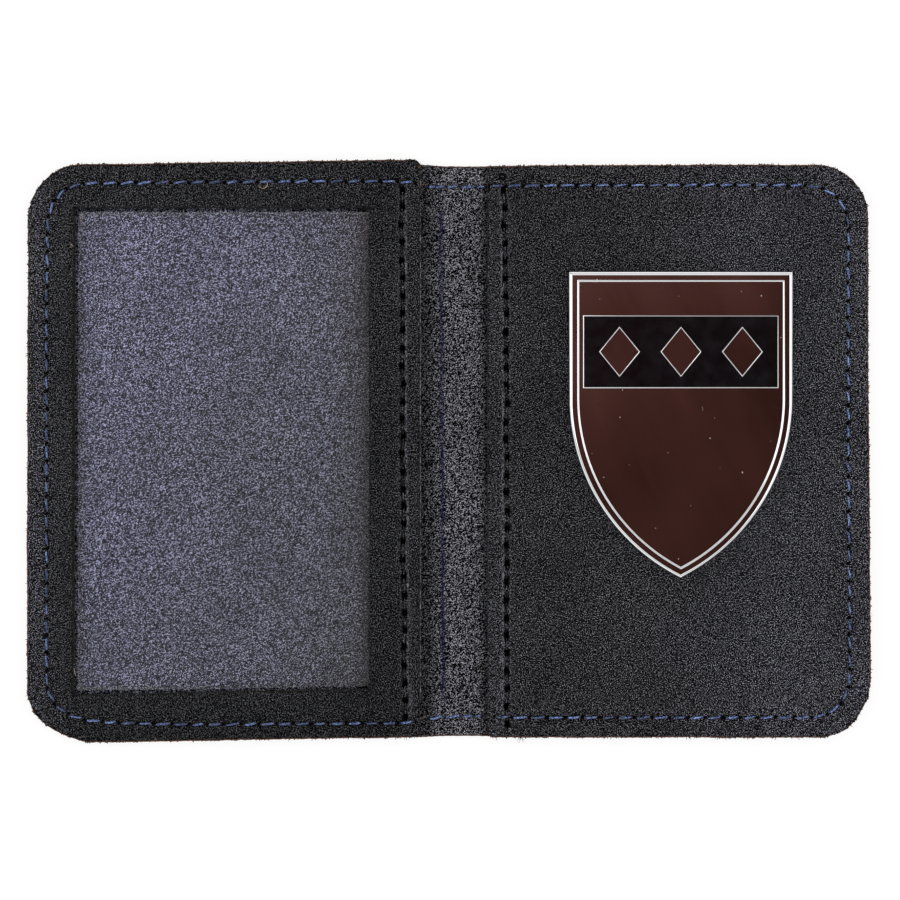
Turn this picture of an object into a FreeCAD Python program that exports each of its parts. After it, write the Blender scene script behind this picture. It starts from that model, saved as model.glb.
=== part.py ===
import FreeCAD, Part
import math
import os

import Sketcher

# An open bifold badge wallet that lies flat with its inside up, in millimetres.
# X runs across both halves, Y up the page and Z out of the table.
# The origin is the middle of the cover's outer face.

Vector = FreeCAD.Vector
doc = FreeCAD.newDocument("badge_wallet")

driving = {
    # cover and panels
    "open_width": 144.0,
    "wallet_height": 98.0,
    "corner_radius": 9.0,
    "least_radius": 0.4,
    "cover_thick": 1.4,
    "panel_thick": 1.3,
    # fold at the spine
    "fold_width": 9.4,
    "crease_gap": 0.1,
    "window_setback": 0.3,
    "badge_setback": 2.0,
    # seam margin and the rise of each pocket
    "stitch_inset": 3.4,
    "seam_margin": 1.0,
    "ramp_run": 1.5,
    "card_gap": 1.3,
    # window and its film
    "film_thick": 0.3,
    "film_clearance": 0.2,
    "side_lip": 2.5,
    "end_lip": 1.75,
    "mouth_band": 8.6,
    # sewing
    "stitch_pitch": 3.0,
    "thread_dia": 0.45,
    "thread_bend": 0.3,
    "thread_gap": 0.04,
    "seam_start": 1.5,
    "fold_stitch_clear": 0.4,
    "window_edge_inset": 3.0,
    "badge_edge_inset": 3.2,
    "edge_seam_start": 0.6,
    # emblem
    "emblem_width": 38.0,
    "emblem_height": 52.0,
    "emblem_shoulder": 21.5,
    "emblem_thick": 2.0,
    "emblem_offset": 4.4,
    "rim_width": 1.6,
    "rim_bevel": 0.5,
    "field_depth": 0.4,
    "band_margin": 1.0,
    "band_drop": 6.0,
    "band_height": 12.0,
    "band_depth": 0.6,
    "enamel_thick": 0.45,
    "lozenge_width": 7.0,
    "lozenge_height": 8.6,
    "lozenge_pitch": 10.4,
    "lozenge_rise": 0.15,
    # fixing behind the emblem
    "leg_spacing": 26.0,
    "leg_width": 3.0,
    "leg_thick": 0.5,
    "leg_fold": 5.0,
    "leg_ease": 0.1,
    "leg_clearance": 0.3,
    "backing_width": 9.0,
    "backing_height": 36.0,
    "backing_thick": 0.4,
}

# Places worked out from the driving sizes. Distances in X and Y are from the middle of the wallet.
derived = {
    "half_width": "sizes.open_width / 2",
    "half_height": "sizes.wallet_height / 2",
    "fold_line": "sizes.fold_width / 2",
    "half_start": "fold_line + sizes.crease_gap / 2",
    "spine_side": "fold_line - sizes.crease_gap / 2",
    "window_mouth": "fold_line + sizes.window_setback",
    "badge_mouth": "fold_line + sizes.badge_setback",
    # pocket: the foot and the top of its ramp, and its levels
    "foot_x": "half_width - sizes.stitch_inset - sizes.seam_margin",
    "foot_y": "half_height - sizes.stitch_inset - sizes.seam_margin",
    "foot_radius": "max(sizes.corner_radius - sizes.stitch_inset - sizes.seam_margin; sizes.least_radius)",
    "rise_x": "foot_x - sizes.ramp_run",
    "rise_y": "foot_y - sizes.ramp_run",
    "rise_radius": "max(foot_radius - sizes.ramp_run; sizes.least_radius)",
    "seam_face": "sizes.cover_thick + sizes.panel_thick",
    "window_raise": "sizes.card_gap + sizes.film_thick",
    "window_under": "sizes.cover_thick + window_raise",
    "window_face": "seam_face + window_raise",
    "badge_raise": "sizes.backing_thick + sizes.leg_thick + sizes.leg_clearance",
    "badge_under": "sizes.cover_thick + badge_raise",
    "badge_face": "seam_face + badge_raise",
    # window and film
    "window_far": "rise_x - sizes.side_lip",
    "window_near": "window_mouth + sizes.mouth_band",
    "window_end": "rise_y - sizes.end_lip",
    "film_under": "sizes.cover_thick + sizes.card_gap",
    "film_far": "rise_x - sizes.film_clearance",
    "film_near": "window_mouth + sizes.film_clearance",
    "film_end": "rise_y - sizes.film_clearance",
    "film_radius": "max(rise_radius - sizes.film_clearance; sizes.least_radius)",
    # sewing
    "stitch_x": "half_width - sizes.stitch_inset",
    "stitch_y": "half_height - sizes.stitch_inset",
    "stitch_radius": "max(sizes.corner_radius - sizes.stitch_inset; sizes.least_radius)",
    "slit_width": "sizes.thread_dia + 2 * sizes.thread_gap",
    "slit_length": "2 * sizes.thread_dia + 3 * sizes.thread_gap",
    "thread_step": "(sizes.thread_dia + sizes.thread_gap) / 2",
    "thread_lift": "sizes.thread_gap + sizes.thread_dia / 2",
    "bed_depth": "sizes.thread_dia + 2 * sizes.thread_gap",
    "window_seam_start": "window_mouth + sizes.seam_start",
    "badge_seam_start": "badge_mouth + sizes.seam_start",
    "spine_seam_end": "fold_line - sizes.panel_thick - sizes.fold_stitch_clear",
    "window_edge_x": "window_mouth + sizes.window_edge_inset",
    "badge_edge_x": "badge_mouth + sizes.badge_edge_inset",
    "edge_seam_end": "rise_y - sizes.edge_seam_start",
    # emblem, from its own middle and back face
    "emblem_x": "(badge_mouth + half_width) / 2",
    "shield_side": "sizes.emblem_width / 2",
    "shield_top": "sizes.emblem_height / 2",
    "shield_shoulder": "shield_top - sizes.emblem_shoulder",
    "shield_drop": "sizes.emblem_height - sizes.emblem_shoulder",
    "shield_radius": "(shield_side ^ 2 + shield_drop ^ 2) / sizes.emblem_width",
    "field_side": "shield_side - sizes.rim_width",
    "field_top": "shield_top - sizes.rim_width",
    "field_radius": "shield_radius - sizes.rim_width",
    "field_tip": "sqrt(field_radius ^ 2 - (shield_radius - shield_side) ^ 2) - shield_shoulder",
    "field_level": "sizes.emblem_thick - sizes.field_depth",
    "band_side": "field_side - sizes.band_margin",
    "band_top": "field_top - sizes.band_drop",
    "band_low": "band_top - sizes.band_height",
    "band_middle": "(band_top + band_low) / 2",
    "band_level": "field_level - sizes.band_depth",
    "lozenge_reach": "sizes.band_depth + sizes.lozenge_rise",
    # fixing behind the emblem
    "leg_reach": "sizes.leg_spacing / 2",
    "leg_low": "sizes.cover_thick + sizes.leg_clearance",
    "leg_height": "badge_face - leg_low",
    "slot_side": "sizes.leg_width / 2 + sizes.leg_ease",
    "slot_inner": "leg_reach - sizes.leg_thick / 2 - sizes.leg_ease",
    "slot_outer": "leg_reach + sizes.leg_thick / 2 + sizes.leg_ease",
    "backing_side": "sizes.backing_width / 2",
    "backing_end": "sizes.backing_height / 2",
    "backing_under": "badge_under - sizes.backing_thick",
}


def fill_sheet(name, cells):
    sheet = doc.addObject("Spreadsheet::Sheet", name)
    for row, (alias, content) in enumerate(cells.items(), start=1):
        sheet.set(f"A{row}", alias)
        sheet.set(f"B{row}", content)
        sheet.setAlias(f"B{row}", alias)
    doc.recompute()
    return sheet


sizes = fill_sheet("sizes", {alias: str(number) for alias, number in driving.items()})
layout = fill_sheet("layout", {alias: f"={formula}" for alias, formula in derived.items()})


def value(name):
    sheet = sizes if name in driving else layout
    return float(getattr(sheet, name))


def signed(name):
    if name == "zero":
        return 0.0
    return -value(name[1:]) if name.startswith("-") else value(name)


def bound(name):
    if name == "zero":
        return "0"
    sign = "-" if name.startswith("-") else ""
    plain = name.lstrip("-")
    return f"{sign}sizes.{plain}" if plain in driving else f"{sign}layout.{plain}"


# Sketches

def new_sketch(body, name, level="zero"):
    plane = next(item for item in body.Origin.OriginFeatures if item.Role == "XY_Plane")
    sketch = body.newObject("Sketcher::SketchObject", name)
    sketch.AttachmentSupport = [(plane, "")]
    sketch.MapMode = "FlatFace"
    sketch.setExpression("AttachmentOffset.Base.z", bound(level))
    return sketch


def pin(sketch, direction, element, point, name):
    rule = Sketcher.Constraint(direction, -1, 1, element, point, signed(name))
    index = sketch.addConstraint(rule)
    sketch.setExpression(f"Constraints[{index}]", bound(name))


def add_polygon(sketch, corners):
    points = [Vector(signed(x), signed(y), 0) for x, y in corners]
    first = len(sketch.Geometry)
    count = len(points)
    for index, point in enumerate(points):
        sketch.addGeometry(Part.LineSegment(point, points[(index + 1) % count]), False)
    for index, (x, y) in enumerate(corners):
        following = first + (index + 1) % count
        sketch.addConstraint(Sketcher.Constraint("Coincident", first + index, 2, following, 1))
        pin(sketch, "DistanceX", first + index, 1, x)
        pin(sketch, "DistanceY", first + index, 1, y)


def rectangle(left, right, low, high):
    return [(left, low), (right, low), (right, high), (left, high)]


def add_shield(sketch, side, top, shoulder, tip):
    half, high, bend, low = (signed(name) for name in (side, top, shoulder, tip))
    drop = bend - low
    radius = (half * half + drop * drop) / (2 * half)
    turn = math.atan2(drop, radius - half)
    right_arc = Part.Circle(Vector(half - radius, bend, 0), Vector(0, 0, 1), radius)
    left_arc = Part.Circle(Vector(radius - half, bend, 0), Vector(0, 0, 1), radius)
    sketch.addGeometry([
        Part.LineSegment(Vector(-half, high, 0), Vector(half, high, 0)),
        Part.LineSegment(Vector(half, high, 0), Vector(half, bend, 0)),
        Part.ArcOfCircle(right_arc, -turn, 0),
        Part.ArcOfCircle(left_arc, math.pi, math.pi + turn),
        Part.LineSegment(Vector(-half, bend, 0), Vector(-half, high, 0)),
    ], False)
    for rule in (("Coincident", 0, 2, 1, 1), ("Coincident", 2, 1, 3, 2), ("Coincident", 4, 2, 0, 1),
                 ("Tangent", 1, 2, 2, 2), ("Tangent", 3, 1, 4, 1),
                 ("Horizontal", 0), ("Vertical", 1), ("Vertical", 4), ("PointOnObject", 2, 1, -2)):
        sketch.addConstraint(Sketcher.Constraint(*rule))
    pin(sketch, "DistanceX", 1, 1, side)
    pin(sketch, "DistanceX", 4, 1, f"-{side}")
    pin(sketch, "DistanceY", 1, 1, top)
    pin(sketch, "DistanceY", 1, 2, shoulder)
    pin(sketch, "DistanceY", 4, 1, shoulder)
    pin(sketch, "DistanceY", 2, 1, tip)


def add_rounded_path(sketch, side, near, far, end, radius, closed):
    # From near to far along the top, round the two outer corners and back along the bottom.
    sign = "" if side > 0 else "-"
    near_x = side * value(near)
    far_x = side * value(far)
    top = value(end)
    curve = value(radius)
    centre_x = far_x - side * curve
    quarter = math.pi / 2
    upper = Part.Circle(Vector(centre_x, top - curve, 0), Vector(0, 0, 1), curve)
    lower = Part.Circle(Vector(centre_x, curve - top, 0), Vector(0, 0, 1), curve)
    if side > 0:
        upper_arc = Part.ArcOfCircle(upper, 0, quarter)
        lower_arc = Part.ArcOfCircle(lower, 3 * quarter, 4 * quarter)
        first, last = 2, 1
    else:
        upper_arc = Part.ArcOfCircle(upper, quarter, 2 * quarter)
        lower_arc = Part.ArcOfCircle(lower, 2 * quarter, 3 * quarter)
        first, last = 1, 2
    sketch.addGeometry([
        Part.LineSegment(Vector(near_x, top, 0), Vector(centre_x, top, 0)),
        upper_arc,
        Part.LineSegment(Vector(far_x, top - curve, 0), Vector(far_x, curve - top, 0)),
        lower_arc,
        Part.LineSegment(Vector(centre_x, -top, 0), Vector(near_x, -top, 0)),
    ], False)
    for rule in (("Tangent", 0, 2, 1, first), ("Tangent", 1, last, 2, 1),
                 ("Tangent", 2, 2, 3, first), ("Tangent", 3, last, 4, 1),
                 ("Horizontal", 0), ("Vertical", 2), ("Horizontal", 4), ("Equal", 1, 3)):
        sketch.addConstraint(Sketcher.Constraint(*rule))
    index = sketch.addConstraint(Sketcher.Constraint("Radius", 1, curve))
    sketch.setExpression(f"Constraints[{index}]", bound(radius))
    pin(sketch, "DistanceX", 0, 1, sign + near)
    pin(sketch, "DistanceY", 0, 1, end)
    pin(sketch, "DistanceX", 2, 1, sign + far)
    pin(sketch, "DistanceX", 4, 2, sign + near)
    pin(sketch, "DistanceY", 4, 2, f"-{end}")
    if closed:
        sketch.addGeometry(Part.LineSegment(Vector(near_x, -top, 0), Vector(near_x, top, 0)), False)
        sketch.addConstraint(Sketcher.Constraint("Coincident", 4, 2, 5, 1))
        sketch.addConstraint(Sketcher.Constraint("Coincident", 5, 2, 0, 1))


# Features

def new_body(name):
    body = doc.addObject("PartDesign::Body", name)
    body.Label = name
    return body


def pad(body, name, sketch, length):
    feature = body.newObject("PartDesign::Pad", name)
    feature.Profile = sketch
    feature.setExpression("Length", bound(length))
    doc.recompute()
    return feature


def pocket(body, name, sketch, depth=None):
    before = body.Shape.Volume
    feature = body.newObject("PartDesign::Pocket", name)
    feature.Profile = sketch
    if depth is None:
        feature.Type = "ThroughAll"
    else:
        feature.setExpression("Length", bound(depth))
    doc.recompute()
    if body.Shape.Volume >= before:
        raise RuntimeError(f"{body.Label}: {name} took nothing away")
    return feature


def loft(body, name, kind, lower, upper):
    feature = body.newObject(f"PartDesign::{kind}", name)
    feature.Profile = lower
    feature.Sections = [upper]
    feature.Ruled = True
    doc.recompute()
    return feature


def edges_where(shape, test):
    return [f"Edge{number}" for number, edge in enumerate(shape.Edges, start=1) if test(edge)]


def cut(label, base, tool):
    feature = doc.addObject("Part::Cut", label)
    feature.Label = label
    feature.Base = base
    feature.Tool = tool
    doc.recompute()
    return feature


def shape_feature(label, shape):
    feature = doc.addObject("Part::Feature", label)
    feature.Label = label
    feature.Shape = shape
    feature.Placement = FreeCAD.Placement()
    return feature


# Sewing: each needle hole is a place on the stitch line and the line's direction there

def with_directions(points):
    holes = []
    last = len(points) - 1
    for index, point in enumerate(points):
        ahead = points[min(index + 1, last)]
        behind = points[max(index - 1, 0)]
        holes.append((point, (ahead - behind).normalize()))
    return holes


def spaced_holes(wire):
    count = max(1, round(wire.Length / value("stitch_pitch")))
    return with_directions(wire.discretize(count + 1))


def seam_holes(side, start):
    sketch = doc.addObject("Sketcher::SketchObject", "seam_line")
    add_rounded_path(sketch, side, start, "stitch_x", "stitch_y", "stitch_radius", False)
    doc.recompute()
    return spaced_holes(sketch.Shape.Wires[0])


def edge_holes(side, line):
    x = side * value(line)
    end = value("edge_seam_end")
    return spaced_holes(Part.Wire(Part.makeLine(Vector(x, end, 0), Vector(x, -end, 0))))


def spine_holes():
    # A short row at each end of the spine, clear of the panels when both leaves stand up.
    end = value("spine_seam_end")
    rows = []
    for y in (value("stitch_y"), -value("stitch_y")):
        rows.append(spaced_holes(Part.Wire(Part.makeLine(Vector(-end, y, 0), Vector(end, y, 0)))))
    return rows


def turned_box(length, width, low, high, start, direction):
    # A box that runs from start along direction, centred on that line.
    box = Part.makeBox(length, width, high - low, Vector(0, -width / 2, low))
    box.rotate(Vector(), Vector(0, 0, 1), math.degrees(math.atan2(direction.y, direction.x)))
    box.translate(start)
    return box


def needle_slits(label, rows, top):
    length = value("slit_length")
    slits = []
    for holes in rows:
        for point, direction in holes:
            start = point - direction * (length / 2)
            slits.append(turned_box(length, value("slit_width"), -top, 2 * top, start, direction))
    return shape_feature(label, Part.makeCompound(slits))


def thread_line(start, end):
    # The two ends of a stitch, half a thread inside its needle holes, and its direction.
    step = value("thread_step")
    first = start[0] + start[1] * step
    last = end[0] - end[1] * step
    return first, last, (last - first).normalize()


def thread_beds(label, rows):
    # A bed in the outer face for each bobbin stitch, so that the wallet lies flat.
    depth = value("bed_depth")
    beds = []
    for holes in rows:
        for start, end in zip(holes, holes[1:]):
            first, last, along = thread_line(start, end)
            length = (last - first).Length
            beds.append(turned_box(length, value("slit_width"), -depth, depth, first, along))
    return shape_feature(label, Part.makeCompound(beds))


def stitch(start, end, bar_level, leg_level):
    # A staple of thread: a leg down one hole, a bar along the leather and a leg down the next.
    bend = value("thread_bend")
    first, last, along = thread_line(start, end)
    away = Vector(0, 0, math.copysign(bend, bar_level - leg_level))
    rise = Vector(0, 0, bar_level)
    ease = 1 - math.sqrt(0.5)
    leg_first = first + Vector(0, 0, leg_level)
    leg_last = last + Vector(0, 0, leg_level)
    turn_first = first + rise - away
    bar_first = first + rise + along * bend
    bar_last = last + rise - along * bend
    turn_last = last + rise - away
    corner_first = first + rise + (along * bend - away) * ease
    corner_last = last + rise - (along * bend + away) * ease
    path = Part.Wire([
        Part.makeLine(leg_first, turn_first),
        Part.Arc(turn_first, corner_first, bar_first).toShape(),
        Part.makeLine(bar_first, bar_last),
        Part.Arc(bar_last, corner_last, turn_last).toShape(),
        Part.makeLine(turn_last, leg_last),
    ])
    section = Part.Wire(Part.makeCircle(value("thread_dia") / 2, leg_first, away))
    return path.makePipeShell([section], True, False)


def stitch_row(label, rows, bar_level, leg_level):
    stitches = []
    for holes in rows:
        for start, end in zip(holes, holes[1:]):
            stitches.append(stitch(start, end, bar_level, leg_level))
    return shape_feature(label, Part.makeCompound(stitches))


def lockstitch(top_label, bobbin_label, rows, upper, lower, sunk):
    # The two threads meet halfway through the leather. A sunk bobbin thread lies in the groove.
    middle = (upper + lower) / 2
    gap = value("thread_gap") / 2
    lift = value("thread_lift")
    under = lower + lift if sunk else lower - lift
    top = stitch_row(top_label, rows, upper + lift, middle + gap)
    bobbin = stitch_row(bobbin_label, rows, under, middle - gap)
    return [top, bobbin]


# Leather pieces

def sewn_cover(label, body, slits, beds):
    pierced = cut(f"{label}_pierced", body, slits)
    return cut(label, pierced, beds)


def cover_half(label, side, slits, beds):
    body = new_body(f"{label}_blank")
    outline = new_sketch(body, "outline")
    add_rounded_path(outline, side, "half_start", "half_width", "half_height", "corner_radius", True)
    pad(body, "leather", outline, "cover_thick")
    return sewn_cover(label, body, slits, beds)


def cover_spine(label, slits, beds):
    body = new_body(f"{label}_blank")
    outline = new_sketch(body, "outline")
    add_polygon(outline, rectangle("-spine_side", "spine_side", "-half_height", "half_height"))
    pad(body, "leather", outline, "cover_thick")
    return sewn_cover(label, body, slits, beds)


def raised_panel(label, side, mouth, under, face):
    # A sheet that lies on the cover along its seam and stands up inside it, open at the mouth.
    body = new_body(f"{label}_blank")
    outline = new_sketch(body, "outline", "cover_thick")
    add_rounded_path(outline, side, mouth, "half_width", "half_height", "corner_radius", True)
    pad(body, "leather", outline, "panel_thick")
    levels = (("AdditiveLoft", "raised_face", "seam_face", face),
              ("SubtractiveLoft", "pocket_space", "cover_thick", under))
    for kind, name, low, high in levels:
        foot = new_sketch(body, f"{name}_foot", low)
        add_rounded_path(foot, side, mouth, "foot_x", "foot_y", "foot_radius", True)
        top = new_sketch(body, f"{name}_top", high)
        add_rounded_path(top, side, mouth, "rise_x", "rise_y", "rise_radius", True)
        loft(body, name, kind, foot, top)
    return body


def window_panel(seam_slits, edge_slits):
    body = raised_panel("window_panel", -1, "window_mouth", "window_under", "window_face")
    opening = new_sketch(body, "window_outline", "window_face")
    add_polygon(opening, rectangle("-window_far", "-window_near", "-window_end", "window_end"))
    pocket(body, "window", opening)
    seamed = cut("window_panel_seamed", body, seam_slits)
    return cut("window_panel", seamed, edge_slits)


def window_film(edge_slits):
    body = new_body("window_film_blank")
    outline = new_sketch(body, "outline", "film_under")
    add_rounded_path(outline, -1, "film_near", "film_far", "film_end", "film_radius", True)
    pad(body, "film", outline, "film_thick")
    return cut("window_film", body, edge_slits)


def leg_slots(sketch):
    add_polygon(sketch, rectangle("-slot_side", "slot_side", "slot_inner", "slot_outer"))
    add_polygon(sketch, rectangle("-slot_side", "slot_side", "-slot_outer", "-slot_inner"))


def centre_on_emblem(thing, level):
    thing.setExpression("Placement.Base.x", bound("emblem_x"))
    thing.setExpression("Placement.Base.y", bound("emblem_offset"))
    thing.setExpression("Placement.Base.z", bound(level))


def badge_panel(seam_slits, edge_slits):
    body = raised_panel("badge_panel", 1, "badge_mouth", "badge_under", "badge_face")
    slots = new_sketch(body, "leg_slots", "badge_face")
    slots.setExpression("AttachmentOffset.Base.x", bound("emblem_x"))
    slots.setExpression("AttachmentOffset.Base.y", bound("emblem_offset"))
    leg_slots(slots)
    pocket(body, "leg_slits", slots)
    seamed = cut("badge_panel_seamed", body, seam_slits)
    return cut("badge_panel", seamed, edge_slits)


# Emblem and its fixing

def add_lozenges(sketch):
    step = value("lozenge_pitch")
    half_wide = value("lozenge_width") / 2
    half_high = value("lozenge_height") / 2
    middle = value("band_middle")
    for number in (-1, 0, 1):
        centre = number * step
        corners = (("x", -1, 0), ("y", 0, -1), ("x", 1, 0), ("y", 0, 1))
        points = [Vector(centre + i * half_wide, middle + j * half_high, 0) for _, i, j in corners]
        first = len(sketch.Geometry)
        for index, point in enumerate(points):
            sketch.addGeometry(Part.LineSegment(point, points[(index + 1) % 4]), False)
        for index, (_, i, j) in enumerate(corners):
            element = first + index
            sketch.addConstraint(Sketcher.Constraint("Coincident", element, 2, first + (index + 1) % 4, 1))
            x_rule = Sketcher.Constraint("DistanceX", -1, 1, element, 1, points[index].x)
            y_rule = Sketcher.Constraint("DistanceY", -1, 1, element, 1, points[index].y)
            x_index = sketch.addConstraint(x_rule)
            y_index = sketch.addConstraint(y_rule)
            sketch.setExpression(f"Constraints[{x_index}]",
                                 f"{number} * sizes.lozenge_pitch + {i} * sizes.lozenge_width / 2")
            sketch.setExpression(f"Constraints[{y_index}]",
                                 f"layout.band_middle + {j} * sizes.lozenge_height / 2")


def band_outline():
    return rectangle("-band_side", "band_side", "band_low", "band_top")


def emblem_plate():
    body = new_body("emblem_plate")
    outline = new_sketch(body, "shield")
    add_shield(outline, "shield_side", "shield_top", "shield_shoulder", "-shield_top")
    plate = pad(body, "plate", outline, "emblem_thick")

    def is_top_edge(edge):
        return all(abs(vertex.Z - value("emblem_thick")) < 1e-6 for vertex in edge.Vertexes)

    bevel = body.newObject("PartDesign::Chamfer", "rim_bevel")
    bevel.Base = (plate, edges_where(plate.Shape, is_top_edge))
    bevel.setExpression("Size", bound("rim_bevel"))
    doc.recompute()
    field = new_sketch(body, "field_outline", "emblem_thick")
    add_shield(field, "field_side", "field_top", "shield_shoulder", "-field_tip")
    pocket(body, "field", field, "field_depth")
    band = new_sketch(body, "band_outline", "field_level")
    add_polygon(band, band_outline())
    pocket(body, "band", band, "band_depth")
    lozenges = new_sketch(body, "lozenge_outlines", "band_level")
    add_lozenges(lozenges)
    pad(body, "lozenges", lozenges, "lozenge_reach")
    centre_on_emblem(body, "badge_face")
    doc.recompute()
    return body


def emblem_enamel():
    body = new_body("emblem_enamel")
    fill = new_sketch(body, "fill_outline", "band_level")
    add_polygon(fill, band_outline())
    add_lozenges(fill)
    pad(body, "fill", fill, "enamel_thick")
    centre_on_emblem(body, "badge_face")
    doc.recompute()
    return body


def emblem_leg(name, direction):
    # The shank goes through the panel, and its foot is bent under the backing towards the emblem's middle.
    shank = doc.addObject("Part::Box", f"{name}_shank")
    shank.setExpression("Width", bound("leg_thick"))
    shank.setExpression("Height", bound("leg_height"))
    shank.setExpression("Placement.Base.y",
                        f"sizes.emblem_offset + {direction} * layout.leg_reach - sizes.leg_thick / 2")
    foot = doc.addObject("Part::Box", f"{name}_foot")
    foot.setExpression("Width", bound("leg_fold"))
    foot.setExpression("Height", bound("leg_thick"))
    inner = "sizes.leg_thick / 2 - sizes.leg_fold" if direction > 0 else "-sizes.leg_thick / 2"
    foot.setExpression("Placement.Base.y",
                       f"sizes.emblem_offset + {direction} * layout.leg_reach + {inner}")
    for box in (shank, foot):
        box.setExpression("Length", bound("leg_width"))
        box.setExpression("Placement.Base.x", "layout.emblem_x - sizes.leg_width / 2")
        box.setExpression("Placement.Base.z", bound("leg_low"))
    leg = doc.addObject("Part::Fuse", name)
    leg.Base = shank
    leg.Tool = foot
    leg.Refine = True
    return leg


def emblem_legs():
    legs = doc.addObject("Part::Compound", "emblem_legs")
    legs.Label = "emblem_legs"
    legs.Links = [emblem_leg("upper_leg", 1), emblem_leg("lower_leg", -1)]
    doc.recompute()
    return legs


def emblem_backing():
    body = new_body("emblem_backing")
    outline = new_sketch(body, "outline")
    add_polygon(outline, rectangle("-backing_side", "backing_side", "-backing_end", "backing_end"))
    leg_slots(outline)
    pad(body, "plate", outline, "backing_thick")
    centre_on_emblem(body, "backing_under")
    doc.recompute()
    return body


# The wallet

leather_top = value("window_face")
left_holes = [seam_holes(-1, "window_seam_start")]
right_holes = [seam_holes(1, "badge_seam_start")]
spine_rows = spine_holes()
window_edge_holes = [edge_holes(-1, "window_edge_x")]
badge_edge_holes = [edge_holes(1, "badge_edge_x")]

left_slits = needle_slits("left_slits", left_holes, leather_top)
right_slits = needle_slits("right_slits", right_holes, leather_top)
window_edge_slits = needle_slits("window_edge_slits", window_edge_holes, leather_top)
badge_edge_slits = needle_slits("badge_edge_slits", badge_edge_holes, leather_top)
spine_slits = needle_slits("spine_slits", spine_rows, leather_top)
left_beds = thread_beds("left_beds", left_holes)
right_beds = thread_beds("right_beds", right_holes)
spine_beds = thread_beds("spine_beds", spine_rows)

pieces = [
    cover_half("cover_left", -1, left_slits, left_beds),
    cover_spine("spine", spine_slits, spine_beds),
    cover_half("cover_right", 1, right_slits, right_beds),
    window_panel(left_slits, window_edge_slits),
    window_film(window_edge_slits),
    badge_panel(right_slits, badge_edge_slits),
    emblem_plate(),
    emblem_enamel(),
    emblem_legs(),
    emblem_backing(),
]

cover_top = value("cover_thick")
seam_top = value("seam_face")
seams = (
    ("left", left_holes, seam_top),
    ("spine", spine_rows, cover_top),
    ("right", right_holes, seam_top),
)
for place, rows, top in seams:
    pieces += lockstitch(f"seam_top_thread_{place}", f"seam_bobbin_thread_{place}", rows, top, 0.0, True)
pieces += lockstitch("window_edge_top_thread", "window_edge_bobbin_thread", window_edge_holes,
                     value("window_face"), value("film_under"), False)
pieces += lockstitch("badge_edge_top_thread", "badge_edge_bobbin_thread", badge_edge_holes,
                     value("badge_face"), value("badge_under"), False)
doc.recompute()

for item in doc.Objects:
    if "Invalid" in item.State or "Error" in item.State:
        raise RuntimeError(f"{item.Label}: {item.State}")
for piece in pieces:
    if piece.Shape.isNull() or not piece.Shape.isValid() or not piece.Shape.Solids:
        raise RuntimeError(f"{piece.Label} has no sound solid")

os.makedirs("parts", exist_ok=True)
for piece in pieces:
    piece.Shape.exportStep(f"parts/{piece.Label}.step")
    print(f"{piece.Label}: {len(piece.Shape.Solids)} solids, {piece.Shape.Volume:.1f} mm3")
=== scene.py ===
import math
import random

import bmesh
import bpy
from mathutils import Matrix, Vector, kdtree, noise


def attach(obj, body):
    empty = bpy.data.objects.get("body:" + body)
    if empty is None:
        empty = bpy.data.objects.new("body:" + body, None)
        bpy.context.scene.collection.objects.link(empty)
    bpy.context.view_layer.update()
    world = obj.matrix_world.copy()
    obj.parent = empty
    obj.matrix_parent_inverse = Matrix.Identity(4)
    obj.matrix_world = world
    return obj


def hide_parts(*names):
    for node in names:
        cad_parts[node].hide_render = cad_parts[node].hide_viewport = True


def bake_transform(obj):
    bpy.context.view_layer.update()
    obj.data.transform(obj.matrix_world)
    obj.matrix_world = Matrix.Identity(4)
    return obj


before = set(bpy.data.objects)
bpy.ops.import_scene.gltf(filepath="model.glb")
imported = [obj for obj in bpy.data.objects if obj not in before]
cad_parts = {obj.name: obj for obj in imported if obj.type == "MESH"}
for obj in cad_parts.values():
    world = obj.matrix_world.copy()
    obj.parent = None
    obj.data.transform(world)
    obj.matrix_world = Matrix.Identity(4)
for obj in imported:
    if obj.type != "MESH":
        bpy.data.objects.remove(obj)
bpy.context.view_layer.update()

mm = 0.001
scene = bpy.context.scene
scene.view_settings.view_transform = "Standard"
random.seed(11)
print("frame loaded,", len(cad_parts), "nodes")


def clamped(value, low, high):
    return min(high, max(low, value))


def smoothStep(t):
    t = clamped(t, 0.0, 1.0)
    return t * t * (3.0 - 2.0 * t)


def hump(distance, width):
    return math.exp(-(distance / width) ** 2)


def ripple(x, y, size, seed):
    return noise.noise(Vector((x / size + seed * 17.3, y / size - seed * 9.1, seed * 3.7)))


# camera straight above the open wallet
viewpoint = {
    "lens": 80.0,
    "sensor": 36.0,
    "frameWidth": 153.74,      # mm across the picture at the leather
    "centre": (0.26, 0.17),
    "level": 2.4,              # height of the leather that the width is taken at
}
camData = bpy.data.cameras.new("overheadCamera")
camData.lens = viewpoint["lens"]
camData.sensor_width = viewpoint["sensor"]
camera = bpy.data.objects.new("overheadCamera", camData)
rise = viewpoint["frameWidth"] * viewpoint["lens"] / viewpoint["sensor"]
camera.location = Vector((*viewpoint["centre"], viewpoint["level"] + rise)) * mm
scene.collection.objects.link(camera)
scene.camera = camera


# small helpers for shader nodes
def newFinish(name):
    finish = bpy.data.materials.new(name)
    finish.use_nodes = True
    return finish, finish.node_tree, finish.node_tree.nodes["Principled BSDF"]


def plug(tree, socket, value):
    if isinstance(value, bpy.types.NodeSocket):
        tree.links.new(value, socket)
    else:
        socket.default_value = value


def addNode(tree, kind, options=None, **inputs):
    # a key such as in0 is a socket known by its number
    made = tree.nodes.new(kind)
    for key, value in (options or {}).items():
        setattr(made, key, value)
    for key, value in inputs.items():
        plug(tree, made.inputs[int(key[2:]) if key.startswith("in") else key], value)
    return made


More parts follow.
